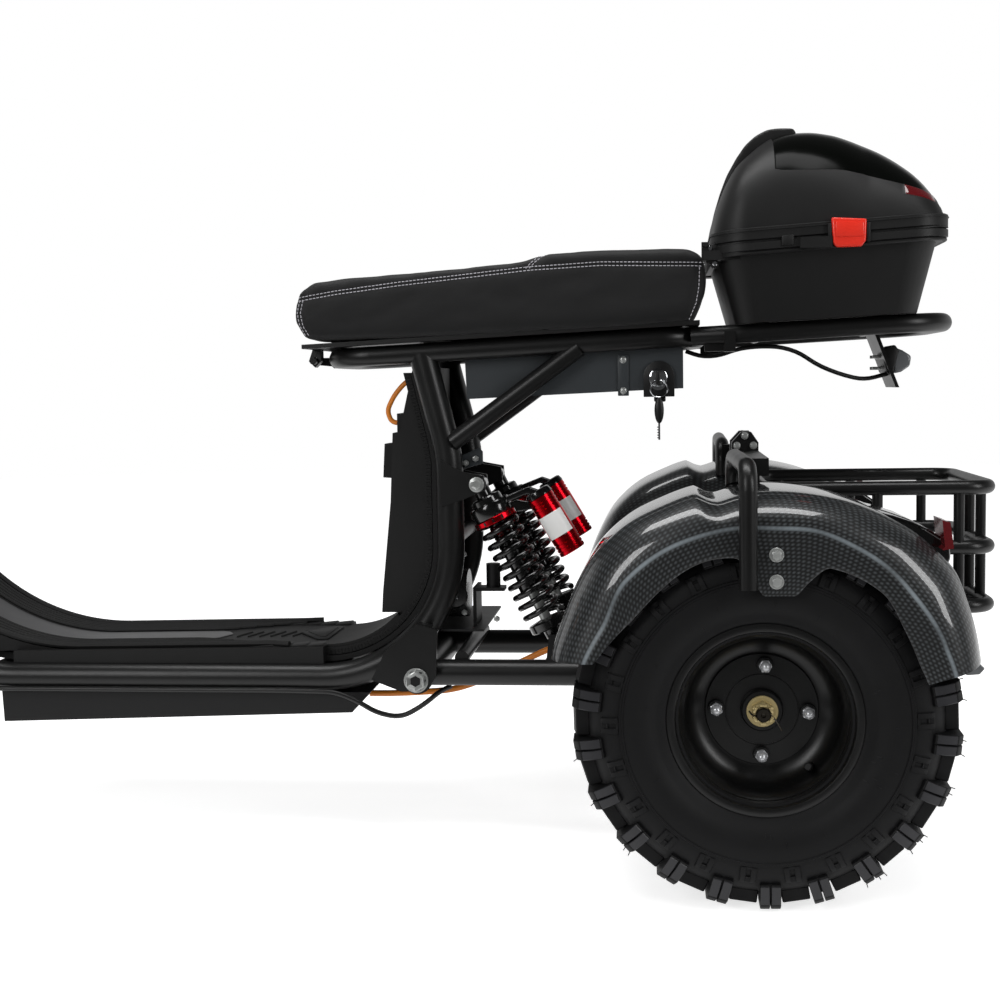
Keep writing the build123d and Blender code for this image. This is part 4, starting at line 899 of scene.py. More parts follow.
# ---------------------------------------------------------------- camera and stage
@dataclass
class Studio:
    """The camera, the floor, the lamps and the light all round."""

    eye: Point = (-0.11557, -2.100, 0.62550)
    yaw: float = 6.463
    pitch: float = -4.52
    roll: float = -1.0
    lens: float = 52.27
    fill: float = 0.42

    def camera(self) -> None:
        """Places the camera at the scooter's left side."""
        data = bpy.data.cameras.new("camera")
        data.lens, data.sensor_width = self.lens, 36
        data.clip_start, data.clip_end = 0.05, 60
        camera = in_scene("camera", data)
        turn = (Matrix.Rotation(math.radians(self.yaw), 4, "Z")
                @ Matrix.Rotation(math.radians(90 + self.pitch), 4, "X")
                @ Matrix.Rotation(math.radians(self.roll), 4, "Z"))
        camera.matrix_world = Matrix.Translation((REAR_X + self.eye[0], *self.eye[1:])) @ turn
        bpy.context.scene.camera = camera

    def world(self) -> None:
        """A surround that is white to the camera, a dim backdrop in gloss and an even light elsewhere."""
        world = bpy.data.worlds.new("surround")
        bpy.context.scene.world = world
        canvas = Canvas(world)
        direct, gloss, glass = canvas.rays()
        _, depth, height = canvas.split(canvas.node("ShaderNodeTexCoord", {}, {}, "Generated"))
        backdrop = canvas.ramp(depth, -0.15, 0.45, 0.05, 0.60)
        ceiling = canvas.ramp(height, 0.20, 0.62, 1.0, 0.12)
        other = (1 - direct) * (1 - gloss) * (1 - glass)
        strength = direct + glass * (1 - direct) + gloss * backdrop * ceiling + other * self.fill
        glow = canvas.node("ShaderNodeBackground", {}, {"Color": (1, 1, 1, 1), "Strength": strength})
        canvas.node("ShaderNodeOutputWorld", {}, {"Surface": glow})

    def floor(self) -> None:
        """A pale floor that keeps the scooter's shadow and is dark in the gloss near the camera."""
        part = bmesh.new()
        bmesh.ops.create_circle(part, cap_ends=True, segments=96, radius=9)
        data = as_mesh(part, "floor")
        material = bpy.data.materials.new("pale_floor")
        canvas = Canvas(material)
        matt = canvas.node("ShaderNodeBsdfDiffuse", {}, {"Color": (0.80, 0.80, 0.80, 1)})
        glow = canvas.node("ShaderNodeEmission", {}, {"Color": (1, 1, 1, 1), "Strength": 0.72})
        both = canvas.node("ShaderNodeAddShader", {}, {0: matt, 1: glow})
        direct, gloss, glass = canvas.rays()
        seen = glass.sum("MAXIMUM", direct.sum("MAXIMUM", direct, gloss), glass)
        mixed = canvas.node("ShaderNodeMixShader", {}, {0: seen, 1: matt, 2: both})
        dim = canvas.ramp(canvas.split(canvas.place())[1], -1.4, -0.1, 0.96, 0.25)
        dark = canvas.node("ShaderNodeBsdfDiffuse", {}, {"Color": (0.02, 0.02, 0.02, 1)})
        mixed = canvas.node("ShaderNodeMixShader", {}, {0: gloss * dim, 1: mixed, 2: dark})
        canvas.node("ShaderNodeOutputMaterial", {}, {"Surface": mixed})
        data.materials.append(material)
        in_scene("floor", data)

    def lamp(self, name: str, place: Point, aim: Point, size: Pair, watts: float, gloss: float) -> None:
        """Hangs a soft oblong lamp.

        Args:
            name: Its name.
            place: Where it hangs, in metres.
            aim: The point that it shines at.
            size: Its width and height.
            watts: Its power.
            gloss: Its share in reflections.
        """
        data = bpy.data.lights.new(name, "AREA")
        data.shape, data.size, data.size_y, data.energy = "RECTANGLE", size[0], size[1], watts
        data.specular_factor = gloss
        in_scene(name, data).matrix_world = along(place, Vector(place) - Vector(aim))

    def build(self) -> None:
        """Makes everything round the scooter."""
        self.camera()
        self.world()
        self.floor()
        self.lamp("overhead", (0.3, -0.5, 3.2), (0.5, 0.0, 0.4), (3.0, 0.9), 60, 0.6)
        self.lamp("front_fill", (-1.4, -3.0, 1.9), (0.5, 0, 0.4), (0.9, 1.8), 34, 0.38)
        self.lamp("side_fill", (3.0, -2.0, 1.5), (0.7, 0, 0.4), (0.7, 1.8), 26, 0.3)
        bpy.context.scene.view_settings.view_transform = "Standard"


# ---------------------------------------------------------------- wheels
@dataclass
class Wheel:
    """A tyre on its rim, with nuts, boss and valve.

    The outer face is on the side of `side`: -1 is the scooter's left.
    """

    name: str
    body: str
    x: float
    y: float
    side: int
    driven: bool = True
    pitches: int = 22
    first_lug: float = 271.4
    bolt_radius: float = 55.0
    carcass: tuple[Pair, ...] = (
        (97, 101), (99.5, 113), (104, 120), (110, 126), (115.5, 134), (118.5, 143), (120, 152), (119.4, 163),
        (119.2, 165.2), (120.4, 165.8), (120.4, 167.4), (119.0, 168.0), (118.8, 170.6), (116.6, 171.0),
        (115.8, 178), (113.5, 186), (109.5, 193), (104, 199.5), (96, 205), (86, 209.5), (74, 212.4),
        (58, 213.6), (30, 214.2), (0, 214.4))
    face: tuple[Pair, ...] = (
        (50, 0), (50, 23.5), (48, 25), (40.4, 26), (40.4, 42.8), (39.2, 43.2), (39.2, 44.2), (40, 44.6),
        (40, 67.4), (39.2, 68.4), (36.6, 68.8), (36.6, 71), (37.4, 74), (40, 80), (45, 86.5), (52, 90.6),
        (62, 92), (70, 92.6), (80, 94), (86, 98), (90, 101.5), (95, 103.2), (99.5, 104.2), (102.2, 105.6),
        (103, 107.5), (103, 112.5), (102.6, 114.6), (101, 115.5), (98.4, 115.0), (97, 112), (95, 101))
    lug: tuple[Pair, ...] = (
        (106, 190), (114.6, 193), (113.8, 206), (109, 220), (99, 226.8), (61, 227.8), (56, 211))
    facet: tuple[Pair, ...] = ((112, 194.5), (115.1, 195), (114.3, 206), (109.8, 218.5), (106, 217))
    bed: tuple[Pair, ...] = ((107, 190), (112.5, 193), (111, 203), (104, 213), (62, 223.5), (57, 211))
    centre_block: tuple[Pair, ...] = ((6, 213), (36, 212), (34, 227.8), (8, 228.2))
    outer_block: tuple[Pair, ...] = ((38, 212), (92, 206), (90, 222.5), (66, 226.6), (40, 227.8))
    web: tuple[Pair, ...] = (
        (118.6, 170.8), (118.9, 173), (118.0, 179), (115.8, 186), (112.6, 191.5), (108, 192))
    web_foot: tuple[Pair, ...] = ((116.5, 170.8), (118.9, 170.8), (118.6, 174), (108, 174))
    web_head: tuple[Pair, ...] = ((116.5, 183.5), (114.4, 183.5), (113.4, 191), (108, 191))

    def node(self, kind: str) -> str:
        """Name of the CAD node of this wheel's tyre or rim."""
        where, _, side = self.name.partition("_")
        return f"{where}_{kind}_{side}".rstrip("_")

    def place(self, angle: float = 0.0) -> Matrix:
        """From the wheel's own frame, whose z points out along the axle, to the scooter's.

        Args:
            angle: Degrees that the wheel's frame is turned round its axle.

        Returns:
            The place in the scooter's frame.
        """
        out = Matrix(((1, 0, 0, 0), (0, 0, self.side, 0), (0, 1, 0, 0), (0, 0, 0, 1)))
        return (Matrix.Translation((self.x, self.y, AXLE_Z)) @ out
                @ Matrix.Rotation(math.radians(angle), 4, "Z"))

    def ring(self, piece: Workpiece, half: int, outline: Sequence[Pair], width: float, edge: float,
             turn: float, near: float = 0.0, finish: int = 0) -> None:
        """Adds one tread block per pitch, all round the wheel.

        Args:
            piece: The tyre's workpiece.
            half: 1 for the outer half of the tread, -1 for the inner.
            outline: The block's corners as (out, radius).
            width: Its width round the wheel.
            edge: Rounding of its edges.
            turn: Degrees from the x axis to the first block.
            near: How far it stands off its pitch's own line, round the wheel.
            finish: Which of the tyre's finishes it takes.
        """
        part = plate([(radius, out * half) for out, radius in outline], -width / 2, width / 2, edge, 1)
        bmesh.ops.translate(part, vec=(0, near, 0), verts=part.verts)
        pitch = 360 / self.pitches
        piece.copies(part, [self.place(turn + pitch * step) for step in range(self.pitches)], finish)

    def tread(self, piece: Workpiece) -> None:
        """Adds the lugs, blocks, buttresses and whiskers on both halves of the tread.

        Args:
            piece: The tyre's workpiece.
        """
        pitch = 360 / self.pitches
        for half in (1, -1):
            shift = self.first_lug + (0 if half == 1 else pitch / 2)
            for near in (-6.4, 6.4):
                self.ring(piece, half, self.lug, 11.4, 0.8, shift, near)
                self.ring(piece, half, self.facet, 10.4, 0.5, shift, near, 1)
            self.ring(piece, half, self.bed, 23, 0.8, shift)
            self.ring(piece, half, self.centre_block, 34, 1.2, shift)
            self.ring(piece, half, self.outer_block, 33, 1.2, shift + pitch / 2)
            for near in (-6.2, 6.2):
                self.ring(piece, half, self.web, 7, 0.7, shift + pitch / 2, near)
            for outline in (self.web_foot, self.web_head):
                self.ring(piece, half, outline, 7, 0.5, shift + pitch / 2)
            self.whiskers(piece, half, shift)

    def whiskers(self, piece: Workpiece, half: int, shift: float) -> None:
        """Adds moulding whiskers between the lugs, away from the ground, and on the sidewall.

        Args:
            piece: The tyre's workpiece.
            half: 1 for the outer half of the tread, -1 for the inner.
            shift: Degrees from the x axis to the half's first lug.
        """
        ground_arc = math.degrees(math.acos(190 / 228))
        tip = 230.5 if self.driven else 228
        rng = random.Random(5)
        for step in range(self.pitches):
            turn = shift + 360 / self.pitches * step
            down = abs((turn - 270 + 180) % 360 - 180)
            for offset in (-11, 4, 11):
                if down < ground_arc or rng.random() < 0.45:
                    continue
                hair = rod((224, offset, 92 * half), (tip, offset * 1.2, 99 * half), 0.6, 5)
                piece.add(hair, 0, self.place(turn))
        for _ in range(28):
            radius = rng.uniform(128, 160)
            tick = rod((radius - 2.6, 0, 119.4 * half), (radius + 2.6, 0, 119.6 * half), 0.45, 5)
            piece.add(tick, 0, self.place(rng.uniform(0, 360)))

    def tyre(self) -> None:
        """The tyre, with its bead line, lugs and whiskers."""
        piece = Workpiece()
        profile = [*self.carcass, *((-out, radius) for out, radius in reversed(self.carcass[:-1]))]
        inner = [(-88, 104), (-96, 128), (-98, 160), (-80, 192), (0, 202), (80, 192), (98, 160), (96, 128),
                 (88, 104)]
        piece.add(turned(profile + inner, 176, closed=True), 0, self.place())
        self.tread(piece)
        piece.finish(f"{self.name}_tyre_moulded", (Finishes.TYRE, Finishes.LUG), self.body, "tyre",
                     (self.node("tyre"),))

    def bolt(self, piece: Workpiece, turn: float) -> None:
        """Adds a stud with a black washer, a hexagon and a domed cap.

        Args:
            piece: The rim's workpiece.
            turn: Degrees round the wheel.
        """
        angle = math.radians(turn)
        at = Matrix.Translation((self.bolt_radius * math.cos(angle), self.bolt_radius * math.sin(angle), 40))
        place = self.place() @ at @ Matrix.Rotation(math.radians(turn * 3 + 11), 4, "Z")
        piece.add(turned([(0, 0), (0, 10.2), (4.4, 9.6), (5.0, 9.0), (5.0, 0)], 28), 1, place)
        piece.add(turned([(5, 0), (5, 9.4), (6.4, 9.4), (6.4, 0)], 28), 1, place)
        piece.add(nut(14, 8), 2, place @ Matrix.Translation((0, 0, 6.2)))
        cap = turned([(0, 0), (0, 6.2), (1.2, 6.7), (4.6, 6.3), (7.4, 4.9), (9.2, 2.6), (9.9, 0)], 24)
        piece.add(cap, 2, place @ Matrix.Translation((0, 0, 13.6)))

    def boss(self, piece: Workpiece) -> None:
        """Adds the axle end: a washer, a castle nut, the drilled axle and its cotter pin.

        Args:
            piece: The rim's workpiece.
        """
        place = self.place()
        piece.add(turned([(50, 0), (50, 19), (52.4, 19), (53, 18.4), (53, 0)], 48), 3, place)
        piece.add(nut(25, 12), 3, place @ Matrix.Translation((0, 0, 53)))
        for step in range(6):
            spin = place @ Matrix.Rotation(math.radians(60 * step + 30), 4, "Z")
            piece.add(block((9.2, -3.6, 64), (12.6, 3.6, 71), 0.8, 2), 3, spin)
        axle = [(60, 0), (60, 8.6), (73, 8.6), (74.4, 7.4), (74.4, 3.2), (72.6, 2.2), (72.2, 0)]
        piece.add(turned(axle, 32), 4, place)
        pin = swept([(10, -2, 68), (3, -1, 68.4), (-8, 1, 68.4), (-13, 3, 68), (-14.5, 9, 66)], 1.1, 6, 5)
        piece.add(pin, 4, place @ Matrix.Rotation(math.radians(20), 4, "Z"))
        tail = swept([(9, -1, 68), (14, -6, 68), (19, -14, 67), (22, -20, 66)], 1.1, 6, 5)
        piece.add(tail, 4, place)

    def rim(self) -> None:
        """The pressed rim with its dished face, nuts and valve."""
        piece = Workpiece()
        back = [(92, 99), (-92, 99), (-96, 112), (-99, 115.3), (-102, 115), (-103, 112), (-103, 107),
                (-100, 102), (-90, 96), (-20, 94), (10, 92), (24, 84), (30, 74), (34, 60), (34, 38),
                (-30, 38), (-30, 0)]
        piece.add(turned([*self.face, *back], 144), 0, self.place())
        for turn in (86, 178, -2, -91):
            self.bolt(piece, turn)
        self.boss(piece)
        valve = math.radians(-50)
        foot = Vector((89 * math.cos(valve), 89 * math.sin(valve), 46))
        tip = Vector((80 * math.cos(valve), 80 * math.sin(valve), 74))
        piece.add(rod(foot, foot.lerp(tip, 0.62), 5.8, 24, 1.0, 5.0), 5, self.place())
        piece.add(rod(foot.lerp(tip, 0.60), tip, 4.4, 20, 0.8), 1, self.place())
        piece.add(rod(foot.lerp(tip, 0.66), foot.lerp(tip, 0.72), 5.0, 20, 0.4), 1, self.place())
        piece.finish(f"{self.name}_rim_pressed",
                     (Finishes.RIM, Finishes.PLASTIC, Finishes.DOMED, Finishes.BRASS, Finishes.DARK_STEEL,
                      Finishes.LEAD), self.body, "rim_steel", (self.node("rim"),), 28)

    def build(self) -> None:
        """Makes the tyre, and the rim of a driven wheel; the front rim keeps its CAD shape."""
        self.tyre()
        if self.driven:
            self.rim()


# ---------------------------------------------------------------- rear fenders
@dataclass
class Fender:
    """A rear fender: a glossy carbon-look shell over one wheel."""

    side: int
    crown: tuple[Pair, ...] = (
        (9.3, 255.4), (18.6, 261.7), (30, 272), (40, 281.5), (50, 281), (58.9, 278), (67, 275), (74.6, 272.1),
        (82.1, 270), (90.4, 268.4), (96.7, 265.2), (101.5, 262), (104.2, 268), (106.8, 277.8), (114.8, 278.5),
        (124.6, 281), (134.9, 278.9), (145.5, 270.7), (153.9, 265.1), (160.9, 263.5), (168.6, 261),
        (183, 266))
    crease: tuple[Pair, ...] = (
        (17.9, 218), (23.4, 218), (27.2, 219.3), (41.4, 221.6), (54, 226.6), (65.7, 228.6), (75.4, 230.8),
        (87.7, 227.6), (99.2, 230.4), (109.4, 231.5), (120, 232.9), (133, 231.4), (149, 218.2),
        (161.7, 221.2), (183, 225))
    skirt: tuple[Pair, ...] = (
        (17.9, 187.1), (22.3, 185.8), (35.5, 190.4), (50.9, 201.7), (68.8, 196.7), (73.8, 175.4),
        (78.1, 154.8), (90.8, 151.4), (93.9, 162.8), (100.2, 198.5), (111.6, 203.7), (137.2, 196.6),
        (156.9, 207.7), (164.6, 219.9))
    lateral: tuple[Pair, ...] = (
        (-131.4, 0.0), (-130.2, 0.16), (-127.4, 0.33), (-122.5, 0.50), (-115, 0.66), (-106, 0.79),
        (-98, 0.865), (-92.5, 0.905), (-90.5, 0.885), (-88.5, 0.915), (-84, 0.955), (-74, 0.98), (-60, 0.993),
        (-40, 1.0), (-15, 1.0), (10, 1.0), (40, 0.995), (70, 0.98), (90, 0.95), (106, 0.88), (118, 0.72),
        (126, 0.48), (129.5, 0.22))
    wall: float = 3.0

    def point(self, angle: float, across: float, radius: float) -> Point:
        """A place on the shell of the left-hand fender."""
        turn = math.radians(angle)
        return (radius * math.cos(turn), -TRACK_HALF + across, AXLE_Z + radius * math.sin(turn))

    def shell(self) -> BMesh:
        """Lofts the shell, its skirt and its inner edge.

        Returns:
            The left-hand shell, open, with its chart in millimetres.
        """
        rows, chart = [], []
        for angle in steps(186, 15.5, 150):
            crown, crease = eased(self.crown, angle), eased(self.crease, angle)
            skirt = min(crease - 1.0, eased(self.skirt, angle)) if angle > 16.5 else crease - 30
            row = []
            drop = crease - skirt
            for part in (1.0, 0.97, 0.75, 0.5, 0.25, 0.06):
                row.append(self.point(angle, -132.0 - 0.5 * (part < 0.98) + 0.5 * (part < 0.1),
                                      crease - drop * part))
            for across, share in self.lateral:
                row.append(self.point(angle, across, crease + (crown - crease) * share))
            for part in (0.12, 0.35, 0.6, 0.85, 1.0):
                row.append(self.point(angle, 131, crease - (crease - 174) * part))
            run, high = [-drop], -drop
            for last, this in zip(row, row[1:]):
                high += (Vector(this) - Vector(last)).length
                run.append(high)
            rows.append(row)
            chart.append([(angle * 4.0, high) for high in run])
        part = wrapped(rows, chart)
        foot = [face for face in part.faces if face.calc_center_median().x < -120]
        near = {vert for face in foot for vert in face.verts}
        edges = {edge for face in foot for edge in face.edges}
        bmesh.ops.bisect_plane(part, geom=[*foot, *edges, *near], plane_co=(0, -TRACK_HALF - 130, 300),
                               plane_no=(0, 12, 190), clear_inner=True)
        return part

    def lip(self, piece: Workpiece) -> None:
        """Adds the paler plastic lip at the rear edge.

        Args:
            piece: The fender's workpiece.
        """
        outline = [(216, 306), (218, 286), (233, 280), (247, 281), (253, 288), (247, 294), (239, 302),
                   (234, 320), (228, 344), (221, 362), (216, 363), (220, 336), (222, 314)]
        piece.add(plate(outline, -TRACK_HALF - 84, -TRACK_HALF + 110, 1.6, 3), 1)

    def pod(self, piece: Workpiece) -> None:
        """Adds the raised housing on the crown that the lamp sits in.

        Args:
            piece: The fender's workpiece.
        """
        outline = [(116, 462), (131, 471), (150, 466), (171, 459), (190, 450), (206, 440), (214, 434),
                   (216, 414), (208, 402), (197, 404), (178, 419), (148, 440)]
        piece.add(plate(outline, -TRACK_HALF - 74, -TRACK_HALF + 74, 5, 4), 2)

    def bolts(self, piece: Workpiece) -> None:
        """Adds two hexagon bolts that hold the flap to the arch.

        Args:
            piece: The fender's workpiece.
        """
        for x, z in ((11, 428), (11, 397)):
            place = along((x, -TRACK_HALF - 134.4, z), LEFT)
            piece.add(turned([(0, 0), (0, 8.4), (1.4, 8.4), (1.8, 7.9), (1.8, 0)], 28), 3, place)
            piece.add(nut(10.6, 5.4), 3, place @ Matrix.Translation((0, 0, 1.8)))

    def build(self) -> None:
        """Makes the fender."""
        side = "left" if self.side < 0 else "right"
        piece = Workpiece()
        shell = faced(self.shell())
        bmesh.ops.solidify(shell, geom=shell.faces[:], thickness=self.wall)
        place = None if self.side < 0 else mirrored(-1)
        piece.add(shell, 0, place)
        extra = Workpiece()
        self.lip(extra)
        self.pod(extra)
        self.bolts(extra)
        piece.add(extra.mesh, -1, place)
        piece.finish(f"rear_fender_{side}_shell",
                     (Finishes.CARBON, Finishes.LIP, Finishes.FENDER_BLACK, Finishes.ZINC),
                     "frame", "fender_gloss", (f"rear_fender_{side}",), 38)


# ---------------------------------------------------------------- seat
def remeshed(part: BMesh, cell: float, smooth: int) -> BMesh:
    """Makes a shape again in even square cells, its corners eased.

    Args:
        part: The shape, which is used up.
        cell: Size of a cell.
        smooth: How often it is eased.

    Returns:
        The new shape.
    """
    carrier = in_scene("blank", as_mesh(part, "blank"))
    remesh = carrier.modifiers.new("cells", "REMESH")
    remesh.mode, remesh.voxel_size = "VOXEL", cell
    bpy.context.view_layer.update()
    evaluated = carrier.evaluated_get(bpy.context.evaluated_depsgraph_get())
    made = bmesh.new()
    made.from_mesh(evaluated.to_mesh())
    evaluated.to_mesh_clear()
    bpy.data.objects.remove(carrier)
    for _ in range(smooth):
        bmesh.ops.smooth_vert(made, verts=made.verts, factor=0.5, use_axis_x=True, use_axis_y=True,
                              use_axis_z=True)
    bmesh.ops.recalc_face_normals(made, faces=made.faces)
    return made


def spaced(path: Sequence[Pair], pitch: float) -> list[tuple[Pair, Pair]]:
    """Places and directions along a line in side view.

    Args:
        path: The line's points as (x, z).
        pitch: Distance from one place to the next.

    Returns:
        Each place with the line's direction there.
    """
    found, left = [], pitch / 2
    for (x0, z0), (x1, z1) in zip(path, path[1:]):
        run = math.hypot(x1 - x0, z1 - z0)
        way = ((x1 - x0) / run, (z1 - z0) / run)
        while left <= run:
            found.append(((x0 + way[0] * left, z0 + way[1] * left), way))
            left += pitch
        left -= run
    return found


def near_line(path: Sequence[Pair], x: float, z: float) -> float:
    """Distance from a place to a line in side view.

    Args:
        path: The line's points as (x, z).
        x: The place's x.
        z: The place's z.

    Returns:
        The distance.
    """
    best = 1e9
    for (x0, z0), (x1, z1) in zip(path, path[1:]):
        span = (x1 - x0) ** 2 + (z1 - z0) ** 2
        t = max(0.0, min(1.0, ((x - x0) * (x1 - x0) + (z - z0) * (z1 - z0)) / span))
        best = min(best, math.hypot(x - x0 - t * (x1 - x0), z - z0 - t * (z1 - z0)))
    return best


@dataclass
class Seat:
    """The long padded seat with its seams."""

    outline: tuple[Pair, ...] = (
        (-604, 692), (-620, 722), (-612, 755), (-592, 770), (-560, 774), (-469, 779), (-373, 785),
        (-305, 791), (-272, 801), (-198, 803), (-80, 803), (-62, 792), (-57, 768), (-60, 740), (-74, 707),
        (-198, 700), (-471, 692))
    side_seam: tuple[Pair, ...] = (
        (-612, 747), (-560, 755), (-470, 765), (-294, 781), (-198, 785), (-63, 781))
    nose_seam: tuple[Pair, ...] = ((-607, 747), (-611, 728), (-608, 711), (-600, 697))
    tail_seam: tuple[Pair, ...] = ((-66, 778), (-67, 752), (-71, 730), (-80, 709))
    hump_seam: tuple[Pair, ...] = ((-296, 781), (-287, 790), (-278, 797))
    half: float = 139.0
    cross_seam: float = -275.0
    stitch: float = 1.75
    thread: float = 0.62

    def swell(self, place: Vector, normal: Vector) -> float:
        """How far the cover stands out: full between seams and drawn in along them.

        Args:
            place: The place on the cover.
            normal: The way that the cover faces there.

        Returns:
            Millimetres out along the normal.
        """
        rise = 0.0
        if abs(normal.y) > 0.35:
            for path in (self.side_seam, self.nose_seam, self.tail_seam, self.hump_seam):
                rise -= 1.7 * math.exp(-(near_line(path, place.x, place.z) / 4.2) ** 2)
            rise += 1.4 * math.exp(-((place.z - 733) / 30) ** 2)
        else:
            rise -= 1.8 * math.exp(-((place.x - self.cross_seam) / 5) ** 2)
            rise += 0.9 * math.exp(-(place.y / 110) ** 2)
        fold = noise.noise(Vector((place.x / 46, place.y / 46, place.z / 26)))
        fine = noise.noise(Vector((place.x / 15, place.y / 15 + 9, place.z / 9)))
        return rise + fold * 1.1 + fine * 0.35

    def sew(self, piece: Workpiece, tree: BVHTree, path: Sequence[Pair], side: int) -> None:
        """Adds one row of stitches along a side of the seat.

        Args:
            piece: The seat's workpiece.
            tree: The cover, for finding its surface.
            path: The row as (x, z) points.
            side: -1 for the left side, 1 for the right.
        """
        for (x, z), way in spaced(path, 5.2):
            hit, normal, _, _ = tree.ray_cast(Vector((x, side * 300, z)), Vector((0, -side, 0)))
            if hit:
                reach = Vector((way[0], 0, way[1])) * self.stitch
                centre = hit + normal * 0.15
                piece.add(rod(centre - reach, centre + reach, self.thread, 5), 1)

    def build(self) -> None:
        """Makes the cover, its seams and their stitches."""
        cover = remeshed(plate(self.outline, -self.half, self.half), 5.0, 7)
        cover.normal_update()
        moves = [(vert, vert.normal * self.swell(vert.co, vert.normal)) for vert in cover.verts]
        for vert, move in moves:
            vert.co += move
        cover.normal_update()
        tree = BVHTree.FromBMesh(cover)
        piece = Workpiece()
        piece.add(cover, 0)
        for side in (-1, 1):
            for offset in (-2.4, 2.4):
                self.sew(piece, tree, [(x, z + offset) for x, z in self.side_seam], side)
                self.sew(piece, tree, [(x + offset, z) for x, z in self.nose_seam], side)
                self.sew(piece, tree, [(x + offset, z) for x, z in self.hump_seam], side)
            self.sew(piece, tree, self.tail_seam, side)
        for offset in (-3.2, 3.2):
            for y in steps(-128, 128, 48):
                above = Vector((self.cross_seam + offset, y, 900))
                hit, normal, _, _ = tree.ray_cast(above, Vector((0, 0, -1)))
                if hit:
                    centre = hit + normal * 0.15
                    reach = Vector((0, 1.7, 0))
                    piece.add(rod(centre - reach, centre + reach, self.thread, 5), 1)
        cushion = piece.finish("seat_cushion_cover", (Finishes.SEAT, Finishes.THREAD), "seat", "seat_fabric",
                               ("seat_cushion",), 60)


